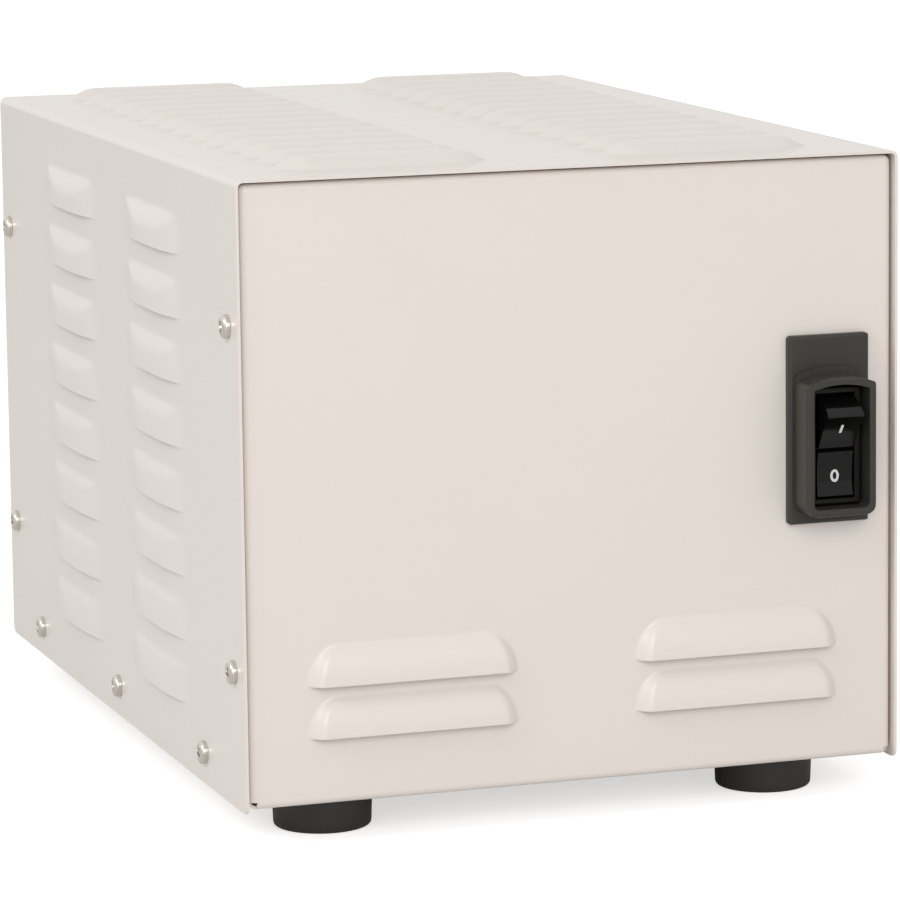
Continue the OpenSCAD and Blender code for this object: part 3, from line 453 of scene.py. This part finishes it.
class SheetPlan:
    # The outer skin of a folded sheet: flat panels with pressed banks let in, and bends between them.
    # A corner lies on an edge when it is this far in mm from its ends and this near to its line
    endGap, lineGap = 0.02, 0.004

    def __init__(self):
        self.flats, self.banks = [], []

    def panel(self, place, us, vs, banks=(), cornerRadius=0, without=()):
        # place turns (u, v, out) into mm; banks hold (middle u, lowest v, bank)
        windows = [(u - b["half"], u + b["half"], v, v + b["run"]) for u, v, b in banks]
        us = sorted(set(us) | {w[0] for w in windows} | {w[1] for w in windows})
        vs = sorted(set(vs) | {w[2] for w in windows} | {w[3] for w in windows})
        holes = windows + list(without)
        r, turn = cornerRadius, [math.radians(a) for a in range(0, 91, 15)]
        for u0, u1 in zip(us, us[1:]):
            for v0, v1 in zip(vs, vs[1:]):
                u, v = (u0 + u1) / 2, (v0 + v1) / 2
                if any(left < u < right and low < v < high for left, right, low, high in holes):
                    continue
                corners = [(u0, v0), (u1, v0), (u1, v1), (u0, v1)]
                if cornerRadius and v0 == vs[0]:
                    if u0 == us[0]:
                        corners[0:1] = [(u0 + r - r * math.cos(a), v0 + r - r * math.sin(a)) for a in turn]
                    if u1 == us[-1]:
                        spot = corners.index((u1, v0))
                        corners[spot:spot + 1] = [(u1 - r + r * math.sin(a), v0 + r - r * math.cos(a))
                                                  for a in turn]
                self.flats.append([place(u, v, 0) for u, v in corners])
        for u, v, b in banks:
            self.banks.append(([place(u + p.x, v + p.y, p.z) for p in b["points"]], b["faces"]))

    def bend(self, place, radius, low, high):
        # A quarter turn from angle 0 to 90, with place(angle point, along)
        arc = [(radius * math.cos(a), radius * math.sin(a)) for a in quarterTurn()]
        for (a0, b0), (a1, b1) in zip(arc, arc[1:]):
            self.flats.append([place(a0, b0, low), place(a1, b1, low),
                               place(a1, b1, high), place(a0, b0, high)])

    def corner(self, place, radius):
        # An eighth of a ball; place takes the three outward parts of a point
        turn = quarterTurn()

        def spot(a, b):
            level = radius * math.cos(b)
            return place(level * math.cos(a), level * math.sin(a), radius * math.sin(b))

        for a0, a1 in zip(turn, turn[1:]):
            for b0, b1 in zip(turn, turn[1:-1]):
                self.flats.append([spot(a0, b0), spot(a1, b0), spot(a1, b1), spot(a0, b1)])
            self.flats.append([spot(a0, turn[-2]), spot(a1, turn[-2]), spot(a0, turn[-1])])

    def mesh(self, name):
        pool = [p for flat in self.flats for p in flat]
        for points, faces in self.banks:
            used = {}
            for f in faces:
                for a, b in zip(f, f[1:] + f[:1]):
                    edge = (min(a, b), max(a, b))
                    used[edge] = used.get(edge, 0) + 1
            rim = {i for edge, n in used.items() if n == 1 for i in edge}
            pool += [points[i] for i in rim]
        spots = {}
        for p in pool:
            spots.setdefault(tuple(round(c, 2) for c in p), p)
        pool = list(spots.values())
        work = bmesh.new()
        for flat in self.flats:
            loop = []
            for a, b in zip(flat, flat[1:] + flat[:1]):
                side = b - a
                span = side.length
                between = []
                for p in pool:
                    t = (p - a).dot(side) / (span * span)
                    clear = self.endGap / span < t < 1 - self.endGap / span
                    if clear and (p - a - side * t).length < self.lineGap:
                        between.append((t, p))
                loop += [a] + [p for t, p in sorted(between, key=lambda pair: pair[0])]
            work.faces.new([work.verts.new(p * mm) for p in loop])
        for points, faces in self.banks:
            verts = [work.verts.new(p * mm) for p in points]
            for f in faces:
                work.faces.new([verts[i] for i in f])
        bmesh.ops.remove_doubles(work, verts=work.verts, dist=mergeGap)
        bmesh.ops.recalc_face_normals(work, faces=work.faces)
        # The skin faces out when its highest face looks up
        top = max(work.faces, key=lambda f: f.calc_center_median().z)
        if top.normal.z < 0:
            bmesh.ops.reverse_faces(work, faces=work.faces)
        mesh = written(work, name, False)
        mesh.transform(Matrix.Translation(caseOrigin))
        return mesh


def walled(mesh, cuts=()):
    # Gives the skin its wall inwards, then cuts the openings through it
    obj = looseObject("walling", mesh)
    solid = obj.modifiers.new("wall", "SOLIDIFY")
    solid.thickness = case["sheet"] * mm
    solid.offset = -1
    solid.use_even_offset = True
    solid.use_quality_normals = True
    cutters = []
    for i, cutMesh in enumerate(cuts):
        cutter = looseObject("cutter%d" % i, cutMesh)
        cutters.append(cutter)
        cut = obj.modifiers.new("cut%d" % i, "BOOLEAN")
        cut.operation = "DIFFERENCE"
        cut.solver = "EXACT"
        cut.object = cutter
    result = evaluated(obj)
    for cutter in cutters:
        bpy.data.objects.remove(cutter)
    return result


topBank, sideBank, frontBank = louvreBank("top", 1), louvreBank("side", 1), louvreBank("front", 2)
print("louvre banks pressed:", len(topBank["points"]), len(sideBank["points"]), len(frontBank["points"]))


def makeCover():
    plan = SheetPlan()
    half, height, depth, bend = case["width"] / 2, case["height"], case["depth"], case["coverBend"]
    middles = [depth / 2 - louvre["columnGap"] / 2, depth / 2 + louvre["columnGap"] / 2]
    for s in (-1, 1):
        plan.panel(lambda u, v, out: Vector((s * (half + out), u, v)), [0, depth], [0, height - bend],
                   [(u, louvre["sideLow"], sideBank) for u in middles], case["cornerRadius"])
        plan.bend(lambda a, b, y: Vector((s * (half - bend + a), y, height - bend + b)), bend, 0, depth)
    lastSlit = (depth + louvre["rise"] + (louvre["topRows"] - 1) * louvre["topPitch"]) / 2
    plan.panel(lambda u, v, out: Vector((u, lastSlit - v, height + out)), [-(half - bend), half - bend],
               [lastSlit - depth, lastSlit],
               [(c * louvre["columnGap"] / 2, 0, topBank) for c in (-1, 1)])
    return softened(walled(plan.mesh("cover")), case["edgeRounding"], 50)


addPiece("coverSheet", makeCover(), "case", "case_paint", "cover")
print("cover made")


# What the front and rear panels are cut for; "reach" is how far a cut goes to each side of the sheet
outlets = {
    "pitch": 52, "height": 118, "faceRadius": 17.2, "faceHeight": 28.4, "faceGap": 0.3, "faceOffset": 19.3,
}
panelHoles = {
    "switchX": 84, "switchZ": 103.4, "switchWidth": 15.8, "switchHeight": 35.4,
    "glandX": -70, "glandZ": 34, "glandRadius": 8.25, "reach": 4,
}


def ellipse(halfWidth, halfHeight, middle=0):
    turn = [math.radians(a) for a in range(0, 360, 10)]
    return [(halfWidth * math.cos(a), middle + halfHeight * math.sin(a)) for a in turn]


def rectangle(halfWidth, halfHeight, middle=0):
    low, high = middle - halfHeight, middle + halfHeight
    return [(-halfWidth, low), (halfWidth, low), (halfWidth, high), (-halfWidth, high)]


def outletOutline():
    # A round face with its sides cut flat
    r, h = outlets["faceRadius"] + outlets["faceGap"], outlets["faceHeight"] / 2 + outlets["faceGap"]
    flat = math.asin(h / r)
    turn = [-flat + 2 * flat * i / 16 for i in range(17)]
    outline = [(r * math.cos(a), r * math.sin(a)) for a in turn]
    return outline + [(-u, -v) for u, v in outline]


def opening(outline, x, z, middleY):
    # A prism that cuts this outline through the front or rear panel
    work = bmesh.new()
    front, back = [[work.verts.new(inRow(x + u, middleY + reach, z + v)) for u, v in outline]
                   for reach in (-panelHoles["reach"], panelHoles["reach"])]
    work.faces.new(front)
    work.faces.new(back[::-1])
    for i in range(len(outline)):
        j = (i + 1) % len(outline)
        work.faces.new([front[j], front[i], back[i], back[j]])
    return written(work, "opening")


def makeChassis():
    plan = SheetPlan()
    r, flange = case["chassisBend"], case["flange"]
    half = case["width"] / 2 - case["sheet"] - case["slip"]
    front, rear = case["recess"], case["depth"] - case["recess"]
    low, high = case["baseLift"], case["height"] - case["sheet"] - case["slip"]
    ys, zs, xs = [front + r, rear - r], [low + r, high - r], [r - half, half - r]
    plan.panel(lambda u, v, out: Vector((u, front - out, v)), xs, zs,
               [(c * louvre["columnGap"] / 2, louvre["frontLow"], frontBank) for c in (-1, 1)])
    plan.panel(lambda u, v, out: Vector((u, rear + out, v)), xs, zs)
    plan.panel(lambda u, v, out: Vector((u, v, low - out)), xs, ys)
    plan.panel(lambda u, v, out: Vector((u, v, high + out)), xs, ys + [front + flange, rear - flange],
               without=[(-half, half, front + flange, rear - flange)])
    for s in (-1, 1):
        plan.panel(lambda u, v, out: Vector((s * (half + out), u, v)),
                   ys + [front + flange, rear - flange], zs + [low + flange],
                   without=[(front + flange, rear - flange, low + flange, high)])
        plan.bend(lambda a, b, z: Vector((s * (half - r + a), front + r - b, z)), r, *zs)
        plan.bend(lambda a, b, z: Vector((s * (half - r + a), rear - r + b, z)), r, *zs)
        plan.bend(lambda a, b, y: Vector((s * (half - r + a), y, low + r - b)), r, *ys)
    for y, t in ((front + r, -1), (rear - r, 1)):
        plan.bend(lambda a, b, x: Vector((x, y + t * a, low + r - b)), r, *xs)
        plan.bend(lambda a, b, x: Vector((x, y + t * a, high - r + b)), r, *xs)
        for s in (-1, 1):
            plan.corner(lambda a, b, c: Vector((s * (half - r + a), y + t * b, high - r + c)), r)
            plan.bend(lambda a, b, run: Vector((s * (half - r + a), y - t * run, high - r + b)), r, 0, r)
    faces = [(i * outlets["pitch"], outlets["height"] + s * outlets["faceOffset"])
             for i in (-1, 0, 1) for s in (-1, 1)]
    cuts = [opening(outletOutline(), x, z, rear) for x, z in faces]
    switchHole = rectangle(panelHoles["switchWidth"] / 2, panelHoles["switchHeight"] / 2)
    glandHole = ellipse(panelHoles["glandRadius"], panelHoles["glandRadius"])
    cuts.append(opening(switchHole, panelHoles["switchX"], panelHoles["switchZ"], front))
    cuts.append(opening(glandHole, panelHoles["glandX"], panelHoles["glandZ"], rear))
    return softened(walled(plan.mesh("chassis"), cuts), case["edgeRounding"], 50)


addPiece("chassisSheet", makeChassis(), "case", "case_paint", "chassis")
print("chassis made")


# Copies of the moulded pieces with their edges rounded

moulded = {
    "switch_guard": {"name": "switchGuard", "slot": "guard_plastic", "rounding": 0.35},
    "switch_body": {"name": "switchBody", "slot": "switch_plastic", "rounding": 0.25},
    "outlet_left": {"name": "outletLeft", "slot": "outlet_plastic", "rounding": 0.5},
    "outlet_middle": {"name": "outletMiddle", "slot": "outlet_plastic", "rounding": 0.5},
    "outlet_right": {"name": "outletRight", "slot": "outlet_plastic", "rounding": 0.5},
    "gland_body": {"name": "glandBody", "slot": "gland_plastic", "rounding": 0.5},
    "gland_nut": {"name": "glandNut", "slot": "gland_plastic", "rounding": 0.5},
}
for node, look in moulded.items():
    addPiece(look["name"], softened(cadCopy(node), look["rounding"], 30), "case", look["slot"], node)
print("moulded pieces made:", len(moulded))


# Turned pieces: a profile spun round Z, set on points by one tree

def turned(name, profile, steps):
    # profile runs from the axis at one end to the axis at the other, or closes on itself
    work = bmesh.new()
    turn = [2 * math.pi * i / steps for i in range(steps)]
    rings = [[work.verts.new((r * mm * math.cos(a), r * mm * math.sin(a), z * mm))
              for a in (turn if r else turn[:1])] for r, z in profile]
    if profile[0][0] > 0:
        rings.append(rings[0])
    for a, b in zip(rings, rings[1:]):
        for i in range(steps):
            j = (i + 1) % steps
            if len(a) == 1:
                work.faces.new([a[0], b[i], b[j]])
            elif len(b) == 1:
                work.faces.new([a[i], a[j], b[0]])
            else:
                work.faces.new([a[i], a[j], b[j], b[i]])
    return written(work, name)


def arcPoints(centre, radius, start, end, steps):
    angles = [math.radians(start + (end - start) * i / steps) for i in range(steps + 1)]
    return [(centre[0] + radius * math.cos(a), centre[1] + radius * math.sin(a)) for a in angles]


def setOnPointsTree():
    net, value = newTree("setOnPoints", [("Piece", "Object"), ("Spin", "Float"), ("Seed", "Int"),
                                         ("Material", "Material")])
    info = net.add("GeometryNodeObjectInfo", None, {"Object": value["Piece"]}, "Geometry")
    facing = net.add("GeometryNodeInputNamedAttribute", {"data_type": "FLOAT_VECTOR"}, {"Name": "facing"})
    aimed = net.add("FunctionNodeAlignRotationToVector", {"axis": "Z"}, {"Vector": facing})
    chance = net.add("FunctionNodeRandomValue", {"data_type": "FLOAT"},
                     {"Min": 0.0, "Max": value["Spin"], "Seed": value["Seed"]})
    spun = net.add("FunctionNodeAxisAngleToRotation", None, {"Axis": (0, 0, 1), "Angle": chance})
    rotation = net.add("FunctionNodeRotateRotation", {"rotation_space": "LOCAL"},
                       {"Rotation": aimed, "Rotate By": spun})
    copies = net.add("GeometryNodeInstanceOnPoints", None,
                     {"Points": value["Geometry"], "Instance": info, "Rotation": rotation})
    real = net.add("GeometryNodeRealizeInstances", None, {"Geometry": copies})
    return endTree(net, real, value["Material"])


pointTree = setOnPointsTree()
hardAngle = 32  # edges that turn by more degrees stay hard


def setOnPoints(name, pieceMesh, places, spin, seed, slot):
    # places hold (point in the row frame, direction that the piece's Z takes)
    spots = bpy.data.meshes.new(name + "Spots")
    spots.from_pydata([p for p, _ in places], [], [])
    facing = spots.attributes.new("facing", "FLOAT_VECTOR", "POINT")
    facing.data.foreach_set("vector", [c for _, d in places for c in d])
    piece = looseObject(name + "Piece", pieceMesh)
    inputs = {"Piece": piece, "Spin": spin, "Seed": seed, "Material": finishes[slot]}
    mesh = runTree(pointTree, name, inputs, spots)
    bpy.data.objects.remove(piece)
    for polygon in mesh.polygons:
        polygon.use_smooth = True
    mesh.set_sharp_from_angle(angle=math.radians(hardAngle))
    return mesh


# Pan heads with a soft rim, a crowned top and a cross recess, on plain shanks
panHead = {
    "steps": 40, "crown": 1.12, "crownTurn": 62, "crownSteps": 7, "crownDrop": 0.25, "topDrop": 0.06,
    "underSlope": 0.1, "underRise": 0.15,
}
cross = {"width": 1.15, "reach": 2.3, "depth": 1.8, "endShare": 0.45, "widthShare": 0.7}
coverScrews = {
    "headRadius": 3.7, "headHeight": 2.4, "shankRadius": 2.0, "shank": 8, "seed": 4,
    "inset": 10.9, "low": 42.8, "span": 106.8, "bottom": 10.3,
}
outletScrews = {"headRadius": 3.3, "headHeight": 2.0, "shankRadius": 1.75, "shank": 9, "seed": 9, "up": 41.65}


def crossCutter(top):
    # Two tapered bars at right angles, from above the head down to the recess's floor
    work = bmesh.new()
    w, l, floor = cross["width"] / 2 * mm, cross["reach"] * mm, top - cross["depth"] * mm
    for angle in (0, 90):
        bar = [(x, y, top * 1.5) for x, y in rectangle(l, w)]
        bar += [(x, y, floor) for x, y in rectangle(l * cross["endShare"], w * cross["widthShare"])]
        turn = Matrix.Rotation(math.radians(angle), 3, "Z")
        verts = [work.verts.new(turn @ Vector(p)) for p in bar]
        for f in ((0, 1, 2, 3), (7, 6, 5, 4), (0, 4, 5, 1), (1, 5, 6, 2), (2, 6, 7, 3), (3, 7, 4, 0)):
            work.faces.new([verts[i] for i in f])
    return looseObject("cross", written(work, "cross"))


def panScrew(screw):
    radius, height, shank = screw["headRadius"], screw["headHeight"], screw["shankRadius"]
    crown = panHead["crown"]
    rim = arcPoints((radius - crown, height - crown - panHead["crownDrop"]), crown,
                    0, panHead["crownTurn"], panHead["crownSteps"])
    profile = [(0, -screw["shank"]), (shank, -screw["shank"]), (shank, 0)]
    profile += [(radius - panHead["underSlope"], 0), (radius, panHead["underRise"])]
    profile += rim + [(rim[-1][0] * 0.5, height - panHead["topDrop"]), (0, height)]
    obj = looseObject("screw", turned("screw", profile, panHead["steps"]))
    cutter = crossCutter(height * mm)
    cut = obj.modifiers.new("cross", "BOOLEAN")
    cut.operation = "DIFFERENCE"
    cut.solver = "EXACT"
    cut.use_self = True
    cut.object = cutter
    mesh = evaluated(obj)
    bpy.data.objects.remove(cutter)
    return mesh


def makeScrews(name, screw, places):
    # Each screw stops at its own chance turn, within a quarter
    return setOnPoints(name, panScrew(screw), places, math.pi / 2, screw["seed"], "bright_steel")


def coverScrewPlaces():
    places = []
    depth = case["depth"]
    for s in (-1, 1):
        x = s * case["width"] / 2
        for y in (coverScrews["inset"], depth - coverScrews["inset"]):
            for z in (coverScrews["low"], coverScrews["low"] + coverScrews["span"]):
                places.append((inRow(x, y, z), (s, 0, 0)))
        for i in (-1, 0, 1):
            places.append((inRow(x, depth / 2 + i * coverScrews["span"], coverScrews["bottom"]), (s, 0, 0)))
    return places


def outletScrewPlaces():
    rear = case["depth"] - case["recess"]
    return [(inRow(i * outlets["pitch"], rear, outlets["height"] + s * outletScrews["up"]), (0, 1, 0))
            for i in (-1, 0, 1) for s in (-1, 1)]


addPiece("coverScrews", makeScrews("coverScrews", coverScrews, coverScrewPlaces()),
         "case", "bright_steel", "cover_screws")
addPiece("outletScrews", makeScrews("outletScrews", outletScrews, outletScrewPlaces()),
         "case", "bright_steel", "outlet_screws")

feet = {
    "topRadius": 15.9, "lowRadius": 15.4, "height": 13.3, "chamfer": 0.4, "edge": 1.2, "draft": 0.04,
    "wellRadius": 7, "wellHeight": 7.5, "wellChamfer": 0.3, "holeRadius": 2.25, "side": 33.5, "end": 31.5,
    "steps": 96,
}


def makeFeet():
    low, top, tall = feet["lowRadius"], feet["topRadius"], feet["height"]
    hole, well, lip = feet["holeRadius"], feet["wellRadius"], feet["wellChamfer"]
    edge, chamfer = feet["edge"], feet["chamfer"]
    profile = [(hole, tall), (top - chamfer, tall), (top, tall - chamfer), (low + feet["draft"], edge)]
    profile += arcPoints((low - edge, edge), edge, -4, -90, 8)
    profile += [(well + lip, 0), (well, lip), (well, feet["wellHeight"]), (hole, feet["wellHeight"])]
    places = [(inRow(s * (case["width"] / 2 - feet["side"]), y, case["baseLift"] - tall), (0, 0, 1))
              for s in (-1, 1) for y in (feet["end"], case["depth"] - feet["end"])]
    return setOnPoints("rubberFeet", turned("foot", profile, feet["steps"]), places, 0.0, 1, "foot_rubber")


addPiece("rubberFeet", makeFeet(), "case", "foot_rubber", "feet")
print("screws and feet set")


# The rocker with its two marks let into the halves

rocker = {
    "angle": 38, "valley": 3.5, "half": 14.8, "back": 2.5, "width": 12.1, "rounding": 0.4,
    "grooveHalf": 0.8, "grooveFloor": 0.2, "grooveDepth": 1.6, "dish": 0.9, "dishSteps": 14, "endSteps": 10,
}
marks = {
    "offAt": 8.4, "onAt": 8.6, "ringHeight": 4.0, "ringWidth": 2.9, "stroke": 0.8, "barHeight": 3.6,
    "proud": 0.06, "sunk": 0.3,
}
rockerJoint = next(j for j in frame["record"]["behaviour"]["joints"] if j["name"] == "rocker_press")
pivot = Vector(rockerJoint["pos_m"])
tilt = math.radians(rocker["angle"] / 2)
restTurn = Matrix.Rotation(tilt, 3, "X")


def dishDepth(along):
    # How deep the finger dish is, that far from the valley
    share = (along - rocker["grooveHalf"]) / (rocker["half"] - rocker["grooveHalf"])
    return rocker["dish"] * 4 * share * (1 - share)


def onHalf(side, along, across, out):
    # A point on the upper (+1) or lower (-1) half, in the rest pose
    out -= dishDepth(along)
    y = -rocker["valley"] - along * math.sin(tilt) - out * math.cos(tilt)
    z = side * (along * math.cos(tilt) - out * math.sin(tilt))
    return pivot + (restTurn @ Vector((across, y, z))) * mm


def inRocker(y, z):
    return pivot + (restTurn @ Vector((0, y, z))) * mm


def makeRocker():
    # The side view: two dished halves that meet in a groove, round ends and a flat back
    endY, endZ = -rocker["valley"] - rocker["half"] * math.sin(tilt), rocker["half"] * math.cos(tilt)
    reach = math.hypot(endY, endZ)
    start = math.atan2(endZ, endY)
    stop = math.atan2(math.sqrt(reach ** 2 - rocker["back"] ** 2), rocker["back"])
    upper = [inRocker(rocker["grooveDepth"] - rocker["valley"], rocker["grooveFloor"])]
    for i in range(rocker["dishSteps"] + 1):
        along = rocker["grooveHalf"] + (rocker["half"] - rocker["grooveHalf"]) * i / rocker["dishSteps"]
        upper.append(onHalf(1, along, 0, 0))
    for i in range(1, rocker["endSteps"] + 1):
        angle = start + (stop - start) * i / rocker["endSteps"]
        upper.append(inRocker(reach * math.cos(angle), reach * math.sin(angle)))
    lower = []
    for p in upper:
        plain = Matrix.Rotation(-tilt, 3, "X") @ ((p - pivot) / mm)
        lower.append(inRocker(plain.y, -plain.z))
    outline = upper + lower[::-1]
    work = bmesh.new()
    w = rocker["width"] / 2 * mm
    left, right = [[work.verts.new(p + Vector((s * w, 0, 0))) for p in outline] for s in (-1, 1)]
    for i in range(len(outline)):
        j = (i + 1) % len(outline)
        work.faces.new([left[i], left[j], right[j], right[i]])
    work.faces.new(left)
    work.faces.new(right)
    return softened(written(work, "rocker"), rocker["rounding"], 28, 3)


addPiece("rockerPaddle", makeRocker(), "rocker", "rocker_plastic", "switch_rocker")


def makeMark(name, side, outer, inner):
    # A flat ring or bar lying on a half, a hair proud of it and sunk below it
    work = bmesh.new()
    (topOut, topIn), (lowOut, lowIn) = [
        [[work.verts.new(onHalf(side, v, u, out)) for u, v in outline] for outline in (outer, inner)]
        for out in (marks["proud"], -marks["sunk"])]
    for i in range(len(outer)):
        j = (i + 1) % len(outer)
        work.faces.new([topOut[i], topOut[j], lowOut[j], lowOut[i]])
        if inner:
            work.faces.new([topOut[i], topIn[i], topIn[j], topOut[j]])
            work.faces.new([lowOut[i], lowOut[j], lowIn[j], lowIn[i]])
            work.faces.new([topIn[i], lowIn[i], lowIn[j], topIn[j]])
    if not inner:
        work.faces.new(topOut)
        work.faces.new(lowOut[::-1])
    addPiece(name, written(work, name), "rocker", "mark_white")


def makeMarks():
    w, h, stroke = marks["ringWidth"] / 2, marks["ringHeight"] / 2, marks["stroke"]
    ring, hole = ellipse(w, h, marks["offAt"]), ellipse(w - stroke, h - stroke, marks["offAt"])
    makeMark("markOff", -1, ring, hole)
    makeMark("markOn", 1, rectangle(stroke / 2, marks["barHeight"] / 2, marks["onAt"]), [])


makeMarks()
print("rocker made")


# The pieces whose CAD shape is right get their finish

subparts = {p["node"]: p["material_slot"] for p in frame["record"]["subparts"]}
for node, obj in frame["nodes"].items():
    finish = finishes[subparts[node]]
    if not obj.material_slots:
        obj.data.materials.append(finish)
    for slotPlace in obj.material_slots:
        slotPlace.material = finish
print("finishes given to", len(frame["nodes"]), "nodes")


# Studio

studio = {
    "floorColour": (0.84, 0.84, 0.84), "floorGlow": 0.58, "floorRoughness": 0.9,
    "floorCorners": [(-6, -4, 0), (6, -4, 0), (6, 14, 0), (-6, 14, 0)],
    "worldLevel": 0.56, "worldColour": (1.0, 0.98, 0.965), "backdrop": (1, 1, 1), "lampTarget": (0, 0, 0.1),
}
lamps = {
    "keyLamp": {"place": (-0.5, -2.5, 1.25), "size": (1.8, 1.2), "power": 25.5, "colour": (1, 1, 1)},
    "fillLamp": {"place": (-2.1, -0.4, 1.7), "size": (1.6, 1.2), "power": 20, "colour": (0.94, 0.99, 1.0)},
}
# The photograph's view, with the place in mm as for the case, and the clip's end in metres
view = {
    "place": (-499.28, -1383.77, 348.35), "forward": (0.32832, 0.9321, -0.15296),
    "right": (0.94268, -0.33357, -0.00923), "shift": (-0.1, -0.05), "lens": 192.86, "sensor": 36, "clipEnd": 60,
}


def makeFloor():
    mesh = bpy.data.meshes.new("floor")
    mesh.from_pydata(studio["floorCorners"], [], [(0, 1, 2, 3)])
    floor = looseObject("floor", mesh)
    f = Finish("floorPaper", Roughness=studio["floorRoughness"], Base_Color=studio["floorColour"] + (1,))
    seen = f.add("ShaderNodeLightPath", None, None, "Is Camera Ray")
    f.shader.inputs["Emission Color"].default_value = studio["backdrop"] + (1,)
    f.feed("Emission Strength", seen * studio["floorGlow"])
    mesh.materials.append(f.material)


def makeWorld():
    # White behind the object, for the camera and in gloss and glass, and a lower level as light
    world = bpy.data.worlds.new("studio")
    world.use_nodes = True
    scene.world = world
    net = Net(world.node_tree)
    ground = world.node_tree.nodes["Background"]
    camera, glossy, through = [net.add("ShaderNodeLightPath", None, None, "Is %s Ray" % kind)
                               for kind in ("Camera", "Glossy", "Transmission")]
    seen = camera.maths("MAXIMUM", glossy).maths("MAXIMUM", through)
    colour = net.add("ShaderNodeMix", {"data_type": "RGBA"},
                     {"Factor_Float": seen, "A_Color": studio["worldColour"] + (1,),
                      "B_Color": studio["backdrop"] + (1,)}, "Result_Color")
    net.fill(ground.inputs["Color"], colour)
    net.fill(ground.inputs["Strength"], seen * (1 - studio["worldLevel"]) + studio["worldLevel"])


def makeLamp(name, look):
    data = bpy.data.lights.new(name, "AREA")
    data.shape = "RECTANGLE"
    data.size, data.size_y = look["size"]
    data.energy = look["power"]
    data.color = look["colour"]
    lamp = bpy.data.objects.new(name, data)
    lamp.location = look["place"]
    aim = Vector(studio["lampTarget"]) - Vector(look["place"])
    lamp.rotation_euler = aim.to_track_quat("-Z", "Y").to_euler()
    scene.collection.objects.link(lamp)


def makeCamera():
    data = bpy.data.cameras.new("camera")
    data.sensor_width = view["sensor"]
    data.lens = view["lens"]
    data.shift_x, data.shift_y = view["shift"]
    data.clip_end = view["clipEnd"]
    forward, right = Vector(view["forward"]).normalized(), Vector(view["right"]).normalized()
    up = right.cross(forward).normalized()
    right = forward.cross(up)
    turn = Matrix((right, up, -forward)).transposed().to_4x4()
    camera = bpy.data.objects.new("camera", data)
    camera.matrix_world = Matrix.Translation(inRow(*view["place"])) @ turn
    scene.collection.objects.link(camera)
    scene.camera = camera


makeFloor()
makeWorld()
for name, look in lamps.items():
    makeLamp(name, look)
makeCamera()
scene.view_settings.view_transform = "Standard"
print("studio set")
